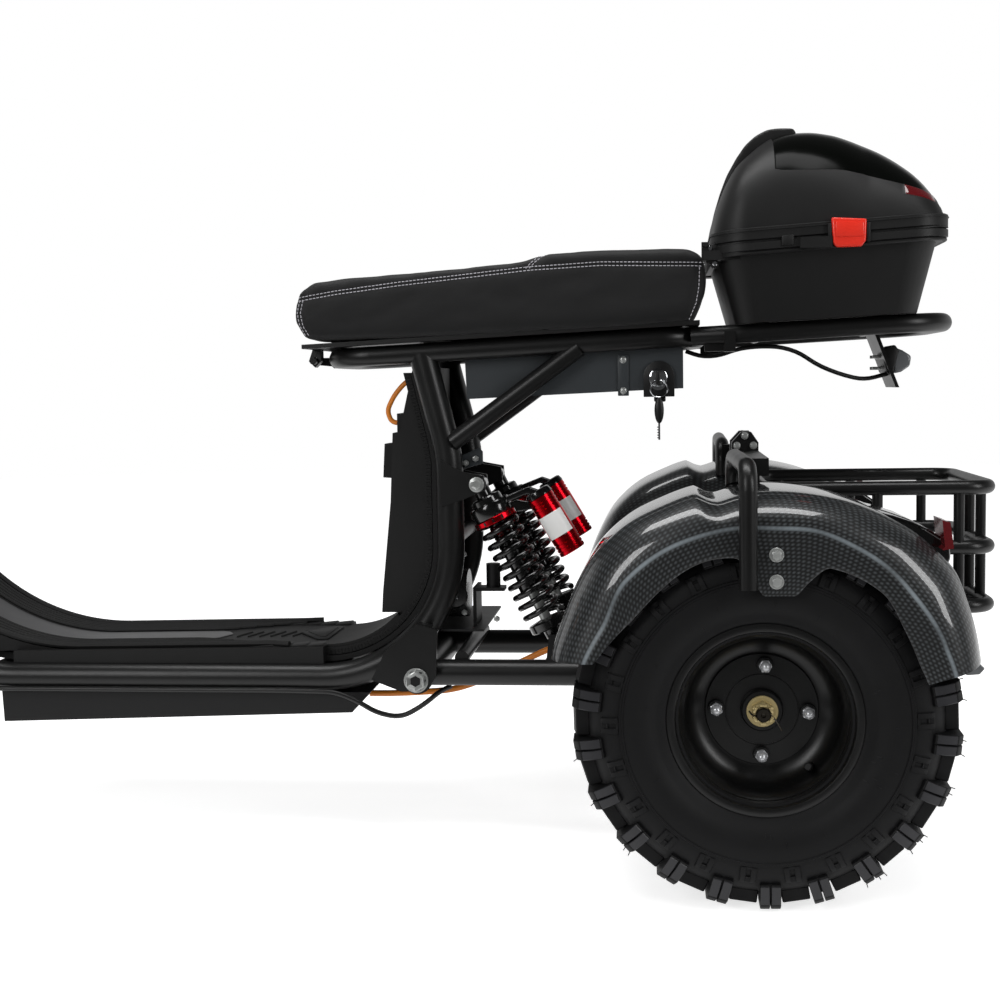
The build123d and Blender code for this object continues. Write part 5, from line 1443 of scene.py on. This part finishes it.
# ---------------------------------------------------------------- top case
@dataclass
class TopCase:
    """The lid of the top case and what is fixed to the case."""

    top: tuple[Pair, ...] = (
        (-50, 806), (-48, 832), (-45, 848), (-38, 870), (-28, 893), (-14, 915), (2, 930), (18, 943),
        (36, 953), (60, 959), (81, 960), (109, 957), (137, 949), (165, 937), (193, 920), (215, 902),
        (232, 882), (244, 860), (250, 838), (252, 820))
    panel: tuple[Pair, ...] = ((28, 897), (40, 895), (104, 894), (171, 879), (217, 866), (252, 850))
    half: float = 189.0
    corner: float = 46.0
    rise: int = 22
    shoulder: int = 8

    def seam(self, x: float) -> float:
        """Height of the join between case and lid."""
        return 801 + (x + 50) * 16 / 295

    def width(self, x: float) -> float:
        """Half the lid's width at x, with rounded corners in plan."""
        near = max(0.0, min(x + 51, 253 - x, self.corner))
        return self.half - self.corner + math.sqrt(max(0.0, self.corner ** 2 - (self.corner - near) ** 2))

    @staticmethod
    def powers(x: float) -> tuple[float, float]:
        """Powers of the lid's section at x across and up; the front is squarer than the rear."""
        full = max(0.0, min(1.0, (150 - x) / 150))
        return 2.9 + 1.5 * full, 2.1 + 1.3 * full

    def lid(self) -> BMesh:
        """Lofts the lid's shell.

        Returns:
            The open sheet; gloss panel faces are numbered 1 and reflector faces 2.
        """
        ends = [-50.5, -50, -49, -47.5, -45, -42, -38, -33, -28]
        tail = [252, 251, 249.5, 247, 243.5, 239, 233.5, 227]
        places = ends + steps(-22, 28, 12) + steps(30, 220, 44) + tail[::-1]
        rows = []
        for x in places:
            height = max(1.0, eased(self.top, x) - self.seam(x))
            share = min(0.96, max(0.1, (eased(self.panel, x) - self.seam(x)) / height))
            across, up = self.powers(x)
            edge = math.asin(share ** (up / 2))
            angles = [edge * (k / self.rise) ** 0.9 for k in range(self.rise)]
            angles += [edge + (math.pi / 2 - edge) * k / self.shoulder for k in range(self.shoulder + 1)]
            half = [(x, -self.width(x) * math.cos(angle) ** (2 / across),
                     self.seam(x) + height * math.sin(angle) ** (2 / up)) for angle in angles]
            rows.append(half + [(a, -b, c) for a, b, c in reversed(half[:-1])])
        part = wrapped(rows)
        count = len(rows[0])
        for face in part.faces:
            centre = face.calc_center_median()
            column = min(vert.index % count for vert in face.verts)
            from_edge = min(column, count - 2 - column)
            gloss = 29.5 < centre.x < 247 and self.rise <= column < count - 1 - self.rise
            face.material_index = 1 if gloss else 0
            if 196 < centre.x < 236 and abs(centre.y) > 96 and self.rise - 6 <= from_edge < self.rise:
                face.material_index = 2
        return part

    def band(self, low: float, high: float, out: float) -> BMesh:
        """A raised band round the case.

        Args:
            low: Height of its lower edge above the join.
            high: Height of its upper edge above the join.
            out: How far it stands out.

        Returns:
            The band.
        """
        path = []
        rear, front, side = 250 - self.corner, -50 + self.corner, 190 - self.corner
        for cx, cy, first in ((rear, -side, 270), (rear, side, 0), (front, side, 90), (front, -side, 180)):
            for angle in steps(first, first + 90, 10):
                turn = math.radians(angle)
                path.append((cx, cy, math.cos(turn), math.sin(turn)))
        path.append(path[0])
        section = [(0.0, low), (out, low + 1.2), (out, high - 1.2), (0.0, high), (-3.0, high - 1),
                   (-3.0, low + 1), (0.0, low)]
        rows = [[(cx + (self.corner + grow) * c, cy + (self.corner + grow) * s,
                  self.seam(cx + self.corner * c) + z) for grow, z in section] for cx, cy, c, s in path]
        part = wrapped(rows)
        bmesh.ops.remove_doubles(part, verts=part.verts, dist=1e-3)
        bmesh.ops.recalc_face_normals(part, faces=part.faces)
        return part

    def fittings(self) -> BMesh:
        """Makes the latch, the tab and the hinge's bracket and pins.

        Returns:
            The left side's fittings; case plastic is numbered 0, the latch 1 and pins 2.
        """
        piece = Workpiece()
        latch = [(101, 798), (106, 793), (136, 793), (142, 800), (143, 828), (99, 831)]
        piece.add(plate(latch, -199, -190, 2.4, 3), 1)
        piece.add(plate([(104, 806), (139, 806), (139, 824), (104, 826)], -200.6, -198, 1.0), 1)
        for x in (95, 143.5):
            piece.add(plate([(x, 799), (x + 4, 799), (x + 4, 823), (x, 824)], -197.5, -190, 0.8), 0)
        piece.add(plate([(37, 797), (52, 798), (52, 811), (37, 810)], -195, -188, 1.2), 0)
        piece.add(plate([(-60, 796), (-47, 807), (-26, 805), (-20, 800), (-38, 794), (-52, 778), (-58, 781)],
                        -166, -150, 1.4), 0)
        for x, z in ((-53, 799), (-47, 779)):
            piece.add(rod((x, -168, z), (x, -146, z), 3.2, 16, 0.6), 2)
            piece.add(rod((x, -165, z), (x, -149, z), 5.2, 20, 0.8), 0)
        return piece.mesh

    def build(self) -> None:
        """Makes the lid, its bands, the fittings and the pad."""
        shell = faced(self.lid())
        panel = [face for face in shell.faces if face.material_index == 1]
        bmesh.ops.inset_region(shell, faces=panel, thickness=1.4, depth=-1.0, use_boundary=True)
        lamp = [face for face in shell.faces if face.material_index == 2]
        bmesh.ops.inset_region(shell, faces=lamp, thickness=1.2, depth=0.6)
        bmesh.ops.solidify(shell, geom=shell.faces[:], thickness=2.6)
        piece = Workpiece()
        piece.add(shell, -1)
        piece.add(self.band(1.5, 18, 2.4), 0)
        piece.add(self.band(12, 15.5, 3.6), 0)
        piece.finish("case_lid_shell", (Finishes.CASE, Finishes.CASE_GLOSS, Finishes.DARK_RED), "lid",
                     "case_gloss", ("case_lid",), 34)
        flange = Workpiece()
        flange.add(self.band(-12, -0.5, 2.6), 0)
        flange.add(self.band(-16.5, -12, 1.2), 0)
        flange.add(self.fittings(), -1)
        flange.finish("case_flange_and_latch", (Finishes.CASE, Finishes.LATCH, Finishes.CHROME), "frame",
                      "case_textured")
        self.pad()

    def pad(self) -> None:
        """Makes the backrest pad, with grooves down it at an even pitch."""
        outline = [(-46, 824), (-44, 850), (-38, 876), (-28, 902), (-15, 925), (-3, 942), (11, 954),
                   (25, 961), (40, 963), (62, 962), (66, 952), (40, 942), (12, 926), (-6, 900), (-20, 866),
                   (-30, 826)]
        half, pitch = 94, 23.5
        part = remeshed(plate(outline, -half, half), 3.6, 5)
        for vert in part.verts:
            line = (vert.co.y + half) % pitch
            groove = math.exp(-(min(line, pitch - line) / 2.4) ** 2)
            vert.co -= vert.normal * groove * 2.0
        piece = Workpiece()
        piece.add(part, 0)
        cover = piece.finish("backrest_pad_cover", (Finishes.PAD,), "lid", "case_textured",
                             ("backrest_pad",), 60)


# ---------------------------------------------------------------- shock absorbers
@dataclass
class Shock:
    """One shock absorber with its reservoir, less the spring."""

    side: int
    top: Pair = (-371, 490)
    foot: Pair = (-264, 270)
    can: Pair = (-286, 472)
    can_way: Pair = (45, -76)
    label_radius: float = 19.25

    def label(self, piece: Workpiece, place: Matrix) -> None:
        """Adds the bare label on the can, facing the left side.

        Args:
            piece: The shock absorbers' workpiece.
            place: The can's place.
        """
        turns = [math.radians(angle) for angle in steps(-62, 62, 16)]
        rows = [[(self.label_radius * math.cos(turn), self.label_radius * math.sin(turn), height)
                 for turn in turns] for height in steps(27, 61, 4)]
        facing = place.to_3x3().inverted() @ Vector(LEFT)
        spin = Matrix.Rotation(math.atan2(facing.y, facing.x), 4, "Z")
        piece.add(faced(wrapped(rows), (1, 0, 0)), 3, place @ spin)

    def build(self, piece: Workpiece) -> None:
        """Adds the shock absorber, its reservoir and the link between them.

        Args:
            piece: The shock absorbers' workpiece.
        """
        y = self.side * 108
        place = along((self.top[0], y, self.top[1]),
                      (self.foot[0] - self.top[0], 0, self.foot[1] - self.top[1]))
        body = [(5, 0), (5, 11.5), (19, 11.5), (21, 20), (23, 21.5), (30, 22), (31, 28.4), (33, 29.6),
                (48, 29.8), (49.6, 29), (49.6, 0)]
        piece.add(turned(body, 64), 0, place)
        ring = [(49.6, 0), (49.6, 29.6), (51, 31.2), (57.2, 31.2), (58.6, 29.8), (58.6, 0)]
        piece.add(turned(ring, 64), 1, place)
        for step in range(14):
            notch = block((29.6, -1.6, 51.4), (31.8, 1.6, 56.8), 0.5, 1)
            piece.add(notch, 0, place @ Matrix.Rotation(math.tau * step / 14, 4, "Z"))
        thread = [(58, 0), (58, 14)]
        for turn in range(9):
            thread += [(60 + turn * 5, 15), (62.5 + turn * 5, 13.6)]
        thread += [(108, 13.2), (150, 13.2), (151, 16), (166, 16), (168, 14), (168, 0)]
        piece.add(turned(thread, 40), 0, place)
        piece.add(turned([(160, 0), (160, 8), (212, 8), (212, 0)], 32), 2, place)
        cup = [(208, 0), (208, 9), (210, 26), (211, 27.6), (221, 27.6), (222.6, 26), (223, 12), (236, 11.5),
               (236, 0)]
        piece.add(turned(cup, 56), 0, place)
        for x, z in (self.top, self.foot):
            piece.add(rod((x, y - 14, z), (x, y + 14, z), 12.4, 40, 1.2), 0)
        bolt = along((self.top[0], y + self.side * 19.5, self.top[1]), (0, self.side, 0))
        piece.add(turned([(0, 0), (0, 10.5), (1.6, 10.5), (2.0, 9.8), (2.0, 0)], 28), 2, bolt)
        piece.add(nut(13, 6, 3.4), 2, bolt @ Matrix.Translation((0, 0, 2)))
        can = along((self.can[0], y, self.can[1]), (self.can_way[0], 0, self.can_way[1]))
        profile = [(0, 0), (0, 17.6), (1.2, 18.9)]
        for groove in (7, 12, 17, 70, 75.5, 81):
            profile += [(groove, 19), (groove + 0.5, 17.9), (groove + 1.7, 17.9), (groove + 2.2, 19)]
        profile += [(87.2, 18.9), (88.3, 17.6), (88.3, 0)]
        piece.add(turned(profile, 72), 1, can)
        piece.add(turned([(-9, 0), (-9, 15), (-7.6, 17.4), (-1, 19.3), (0.2, 19.3), (0.2, 0)], 56), 0, can)
        self.label(piece, can)
        for near, far in ((-11, -6), (6, 11)):
            piece.add(plate([(-360, 462), (-301, 485), (-278, 477), (-283, 470), (-303, 476), (-352, 456)],
                            y + near, y + far, 1.2), 0)
        web = [(-356, 455), (-318, 467), (-290, 462), (-286, 456), (-354, 445)]
        piece.add(plate(web, y - 5, y + 5, 1.6), 0)


# ---------------------------------------------------------------- deck and column trim
@dataclass
class Deck:
    """Raised pattern of the foot mat and the strips that run up the column.

    The flat's line rises a little from front_x to rear_x and curls up past bend_x.
    """

    front_x: float = -1054.0
    rear_x: float = -596.0
    bend_x: float = -960.0
    bend_r: float = 330.0
    lean: float = 54.0
    mat_half: float = 99.0
    insert_half: float = 33.0
    insert_end: float = -793.0
    tube_bend: Pair = (-596.0, 403.0)
    tube_radius: float = 185.0

    @staticmethod
    def flat(height: float) -> Matrix:
        """Lays a plate down at a height, so that its outline's z runs across the scooter."""
        return (Matrix.Translation((0, 0, height))
                @ Matrix(((1, 0, 0, 0), (0, 0, 1, 0), (0, 1, 0, 0), (0, 0, 0, 1))))

    def surface_z(self, x: float) -> float:
        """Height of the mat's top at x."""
        return 254 + 7 * (x - self.front_x) / (self.rear_x - self.front_x)

    def track(self, end: float, lift: float) -> list[Pair]:
        """The mat's line in side view, from a place on the flat up the front curve.

        Args:
            end: The x that it starts from.
            lift: How far it lies above the mat.

        Returns:
            Its points as (x, z).
        """
        path = [(x, self.surface_z(x) + lift) for x in steps(end, self.bend_x, 16)]
        top = self.surface_z(self.bend_x) + self.bend_r
        radius = self.bend_r - lift
        for angle in steps(0, self.lean, 18)[1:]:
            turn = math.radians(270 - angle)
            path.append((self.bend_x + radius * math.cos(turn), top + radius * math.sin(turn)))
        return path

    def liner(self, piece: Workpiece) -> None:
        """Adds the mat's sheet where it bridges the bend into the leg shield, with closed sides.

        Args:
            piece: The deck's workpiece.
        """
        path = self.track(self.bend_x + 4, 0.3)
        part = faced(wrapped([[(x, y, z) for y in steps(-self.mat_half, self.mat_half, 8)]
                              for x, z in path]))
        bmesh.ops.solidify(part, geom=part.faces[:], thickness=2.0)
        piece.add(part, 0)
        wall = path + [(self.front_x - 74, 250)]
        for side in (-1, 1):
            piece.add(plate(wall, self.mat_half - 5, self.mat_half), 0, mirrored(side))

    def ribs(self, piece: Workpiece) -> None:
        """Adds long ribs that run up the front curve, with stepped ends at the back.

        Args:
            piece: The deck's workpiece.
        """
        for side in (-1, 1):
            for index, y in enumerate((99, 88, 77, 66, 55, 45)):
                path = self.track(-672 - 24 * index, 4.0 if index == 0 else 1.8)
                points = [(x, side * y, z) for x, z in path]
                points.insert(0, (path[0][0] + 26, side * (y + 7), path[0][1]))
                piece.add(swept(points, 4.6 if index == 0 else 3.1, 6, 2), 0)
            for step in range(4):
                x = -705 + step * 24
                piece.add(plate([(x, 0), (x + 34, 3.4), (x + 38, 0)], 82 - step * 2, 106, 0.8), 0,
                          mirrored(side) @ Matrix.Translation((0, 0, self.surface_z(x))))

    def insert(self, piece: Workpiece) -> None:
        """Adds the smooth strip down the middle, with its rounded end.

        Args:
            piece: The deck's workpiece.
        """
        rows = []
        for x, z in self.track(-760, 1.0):
            half = self.insert_half
            if x > self.insert_end:
                half = math.sqrt(max(0.5, self.insert_half ** 2 - (x - self.insert_end) ** 2))
            rows.append([(x, half * share, z + 0.6 * (1 - share * share)) for share in steps(-1, 1, 10)])
        piece.add(faced(wrapped(rows)), 1)

    def pattern(self, piece: Workpiece) -> None:
        """Adds slanted bars and the raised heel plate.

        Args:
            piece: The deck's workpiece.
        """
        for step in range(6):
            x = -748 + step * 17
            z = self.surface_z(x) + 0.6
            piece.add(rod((x, -20, z), (x + 12, 20, z), 1.7, 8, 0.4), 0)
        heel = [(-655, 0), (-620, -52), (-602, -52), (-602, 52), (-620, 52)]
        cleat = [(-645, 0), (-618, -40), (-608, -40), (-608, 40), (-618, 40)]
        place = self.flat(self.surface_z(-620) - 0.4)
        piece.add(plate(heel, 0, 3.2, 1.4), 0, place)
        piece.add(plate(cleat, 0, 4.6, 1.0), 0, place)

    def column_line(self, off: float) -> list[Pair]:
        """A line beside the main tube, from the mat to the seat.

        Args:
            off: Millimetres inside the tube's middle.

        Returns:
            Its points as (x, z).
        """
        radius, (x, z) = self.tube_radius - off, self.tube_bend
        turns = [math.radians(angle) for angle in steps(270, 360, 24)]
        upright = x + radius
        return [*((x + radius * math.cos(turn), z + radius * math.sin(turn)) for turn in turns),
                *((upright, height) for height in steps(420, 520, 4)),
                (upright - 5, 552), (upright - 16, 598), (upright - 27, 645)]

    def strips(self, piece: Workpiece) -> None:
        """Adds a flat strip and a finely ribbed strip on each side of the column.

        Args:
            piece: The deck's workpiece.
        """
        for side in (-1, 1):
            for near, far, deep in ((20, 27, 96), (28.5, 38, 92)):
                edge = self.column_line(near) + self.column_line(far)[::-1]
                piece.add(plate(edge, 80, deep), 0, mirrored(side))
            for (x, z), way in spaced(self.column_line(32), 5.0):
                across = Vector((-way[1], 0, way[0])) * 3.6
                centre = Vector((x, side * 92.2, z))
                piece.add(rod(centre - across, centre + across, 0.9, 5), 0)

    def build(self) -> None:
        """Makes the raised pattern."""
        piece = Workpiece()
        self.ribs(piece)
        self.liner(piece)
        self.insert(piece)
        self.pattern(piece)
        self.strips(piece)
        piece.finish("deck_relief_and_column_trim", (Finishes.DECK, Finishes.DECK_INSERT), "frame",
                     "deck_rubber", (), 40)


# ---------------------------------------------------------------- small fittings
@dataclass
class FrameFittings:
    """Bolts, strap, lock, key, the lamp at the back and the shock absorbers."""

    def lock(self, piece: Workpiece) -> None:
        """Adds the lock's dark recess, the ring, the fob and the key.

        Args:
            piece: The workpiece that takes them.
        """
        arch = [(-142, 606), *((-121 + 21 * math.cos(turn), 634 + 21 * math.sin(turn))
                               for turn in steps(math.pi, 0, 14)), (-100, 606)]
        piece.add(plate(arch, -103, -100.6, 0.8), 0)
        piece.add(turned([(0, 0), (0, 11.6), (1.2, 12.4), (3, 12.4), (3.6, 11.4), (3.6, 0)], 40), 1,
                  along((-122, -110, 632), LEFT))
        piece.add(block((-125.4, -122.5, 622), (-118.4, -112, 641), 2.2, 3), 0)
        ring = [(-121 + 11.5 * math.cos(turn), -121, 617 + 11.5 * math.sin(turn))
                for turn in steps(0, math.tau, 24)[:-1]]
        piece.add(swept(ring, 0.95, 8, 2, cyclic=True), 1)
        fob = bmesh.new()
        bmesh.ops.create_uvsphere(fob, u_segments=24, v_segments=14, radius=1)
        bmesh.ops.transform(fob, verts=fob.verts, matrix=Matrix.Translation((-121, -121, 588))
                            @ Matrix.Diagonal((6.4, 3.4, 18, 1)))
        piece.add(fob, 0)
        piece.add(block((-122.4, -121.8, 548), (-119.8, -120.2, 574), 0.4, 1), 1)
        for step in range(5):
            z = 550 + step * 3.6
            piece.add(block((-123.8, -121.8, z), (-122.0, -120.2, z + 1.6), 0.2, 1), 1)

    def strap(self, piece: Workpiece) -> None:
        """Adds the strap on the storage box with its two screws.

        Args:
            piece: The workpiece that takes them.
        """
        piece.add(block((-177, -100.6, 608), (-162, -97.2, 664), 1.0), 2)
        for z in (615, 657):
            piece.add(dome(5.0, 2.6), 3, along((-169.5, -100.4, z), LEFT))
        piece.add(block((-128, -93, 599), (-112, -80, 607), 2.0), 0)

    def bolts(self, piece: Workpiece) -> None:
        """Adds hexagon bolts on the pivot, the brackets and the horn.

        Args:
            piece: The workpiece that takes them.
        """
        for side in (-1, 1):
            place = along((-457, side * 150.2, 222), (0, side, 0))
            piece.add(turned([(0, 0), (0, 17), (1.8, 17), (2.4, 16.2), (2.4, 0)], 40), 3, place)
            piece.add(nut(26, 9.5, 6.5), 3, place @ Matrix.Translation((0, 0, 2.0)))
        bracket = [(-402, 508), (-400, 527), (-371, 539), (-366, 534), (-366, 517)]
        piece.add(plate(bracket, -93, -90, 0.8), 2)
        for x, z in ((-390, 518), (-376, 524)):
            piece.add(nut(8, 4), 3, along((x, -92.6, z), LEFT))
            piece.add(rod((x, -92, z), (x, -102, z), 2.4, 12, 0.5), 3)
        piece.add(turned([(0, 0), (0, 17), (3, 17.5), (7, 15), (9, 9), (9, 0)], 40), 0,
                  along((-409, -84, 330), LEFT))
        piece.add(turned([(0, 0), (0, 5.4), (4, 5.0), (5, 4.0), (5, 0)], 24), 1,
                  along((-409, -92.6, 330), LEFT))
        for x, z in ((-398, 305), (-398, 388), (-352, 296)):
            piece.add(nut(8, 3.4), 3, along((x, -76, z), LEFT))

    def crossbar(self, piece: Workpiece) -> None:
        """Adds the clamp's bolts in the middle of the crossbar.

        Args:
            piece: The workpiece that takes them.
        """
        for x, z in ((-13, 535), (10, 535), (-2, 549)):
            for side in (-1, 1):
                place = along((x, side * 34, z), (0, side, 0))
                piece.add(turned([(0, 0), (0, 5.4), (1, 5.4), (1, 0)], 20), 3, place)
                piece.add(nut(8.2, 4.4), 3, place @ Matrix.Translation((0, 0, 1)))
        piece.add(rod((-2, -20, 549), (-2, 20, 549), 4.2, 16), 3)

    def tail_lamp(self) -> None:
        """The small lamp under the rack: a black housing, a smoked lens and a red insert."""
        piece = Workpiece()
        housing = [(187, 667), (203, 672), (209, 664), (200, 630), (192, 634), (188, 650)]
        piece.add(plate(housing, -37, 37, 2.2, 3), 0)
        lens = [(202, 669), (214, 664), (226, 656), (224, 642), (212, 634), (202, 632)]
        piece.add(plate(lens, -35, 35, 3.5, 3), 1)
        for y in (-20, 0, 20):
            piece.add(plate([(204, 668), (222, 660), (225, 645), (206, 636)], y - 2, y + 2, 0.6), 2)
        for z in (640, 656):
            for y in (-12, 12):
                piece.add(rod((176, y, z), (189, y, z), 2.2, 12), 3)
        piece.finish("tail_lamp", (Finishes.PLASTIC, Finishes.SMOKED, Finishes.RED_LENS, Finishes.ZINC),
                     "frame", "red_lens", ("tail_light",))

    def build(self) -> None:
        """Makes the small fittings."""
        piece = Workpiece()
        self.lock(piece)
        self.strap(piece)
        self.bolts(piece)
        self.crossbar(piece)
        piece.finish("frame_fittings", (Finishes.PLASTIC, Finishes.CHROME, Finishes.SLATE, Finishes.ZINC),
                     "frame", "chrome")
        self.tail_lamp()
        shocks = Workpiece()
        for side in (-1, 1):
            Shock(side).build(shocks)
        shocks.finish("shock_bodies",
                      (Finishes.SHOCK_BLACK, Finishes.ANODISED, Finishes.ZINC, Finishes.LABEL),
                      "frame", "shock_alloy", ("shock_absorbers",))


@dataclass
class FrontFittings:
    """Glass, lens, screen and grip ribs on the steered front, and the brake disc's face."""

    rake: float

    def place(self) -> Matrix:
        """The steering frame: its z up the head and x towards the rider."""
        c, s = math.cos(self.rake), math.sin(self.rake)
        return Matrix(((c, 0, s, FRONT_X + 40 / c), (0, 1, 0, 0), (-s, 0, c, AXLE_Z), (0, 0, 0, 1)))

    def facing(self, point: Point, way: Point) -> Matrix:
        """A place in the steering frame with its z axis along a way."""
        return self.place() @ along(point, way)

    def build(self) -> None:
        """Makes the front's fittings."""
        piece = Workpiece()
        for side in (-1, 1):
            glass = self.facing((-3.9, side * 330, 906), (1, 0, 0))
            piece.add(turned([(0, 0), (0, 47), (0.8, 46.4), (0.8, 0)], 64), 0, glass)
            piece.add(turned([(-1, 47), (0.6, 48.2), (1.4, 50.6), (0.6, 52.4), (-3, 52.6)], 64), 1, glass)
            start, end = Vector((1.4, side * 251.5, 799.4)), Vector((22, side * 370, 796))
            way = end - start
            for share in steps(0.05, 0.93, 26):
                ring = self.facing(start.lerp(end, share), way)
                piece.add(turned([(-1.2, 15.8), (-0.7, 16.9), (0.7, 16.9), (1.2, 15.8)], 28), 2, ring)
            for share in (0.0, 0.97):
                collar = self.facing(start.lerp(end, share), way)
                piece.add(turned([(-2.5, 15.8), (-2, 19.2), (2, 19.2), (2.5, 15.8)], 32), 2, collar)
        lamp = self.facing((-58, 0, 412), (-1, 0, 0))
        piece.add(turned([(86.2, 0), (86.2, 30), (88.5, 66), (89, 74)], 72), 3, lamp)
        piece.add(turned([(84, 84.2), (88, 85), (91, 82), (91.5, 77), (88, 74.5)], 72), 3, lamp)
        piece.add(turned([(89, 75), (94, 66), (98, 48), (100.5, 24), (101, 0)], 72), 4, lamp)
        screen = self.place() @ Matrix.Translation((4, 0, 591))
        piece.add(block((-22, -33, -0.4), (22, 33, 0.9), 0.4, 1), 5, screen)
        piece.add(block((-25, -37, -1.2), (25, 37, 0.4), 0.8, 2), 1, screen)
        piece.finish("front_fittings", (Finishes.MIRROR, Finishes.PLASTIC, Finishes.GRIP, Finishes.CHROME,
                                        Finishes.CLEAR, Finishes.SCREEN), "fork", "mirror_plastic")
        disc = Workpiece()
        hub = Matrix.Translation((FRONT_X, 0, AXLE_Z)) @ Matrix.Rotation(math.pi / 2, 4, "X")
        disc.add(turned([(130, 58), (130.5, 58.6), (130.5, 93.6), (130, 94.2)], 96), 0, hub)
        for step in range(24):
            turn = hub @ Matrix.Rotation(math.tau * step / 24, 4, "Z")
            out = 70 + (step % 3) * 8
            disc.add(rod((out, 0, 130.2), (out, 0, 130.8), 2.6, 14), 1, turn)
        for step in range(5):
            turn = hub @ Matrix.Rotation(math.tau * step / 5, 4, "Z")
            disc.add(nut(8, 4), 2, turn @ Matrix.Translation((32, 0, 129)))
        disc.finish("brake_disc_face", (Finishes.DARK_STEEL, Finishes.PLASTIC, Finishes.ZINC), "front_wheel",
                    "rim_steel")


def main() -> None:
    """Builds the looks of the scooter."""
    logging.basicConfig(level=logging.INFO, format="%(message)s")
    Studio().build()
    dress_nodes()
    Wheel("rear_left", "rear_wheel_left", 0, -TRACK_HALF, -1).build()
    Wheel("rear_right", "rear_wheel_right", 0, TRACK_HALF, 1).build()
    Wheel("front", "front_wheel", FRONT_X, 0, -1, driven=False).build()
    Fender(-1).build()
    Fender(1).build()
    Seat().build()
    TopCase().build()
    Deck().build()
    FrameFittings().build()
    steering = next(joint for joint in frame["joints"] if joint["name"] == "steering")
    FrontFittings(math.asin(steering["axis"][0])).build()


if __name__ == "__main__":
    main()
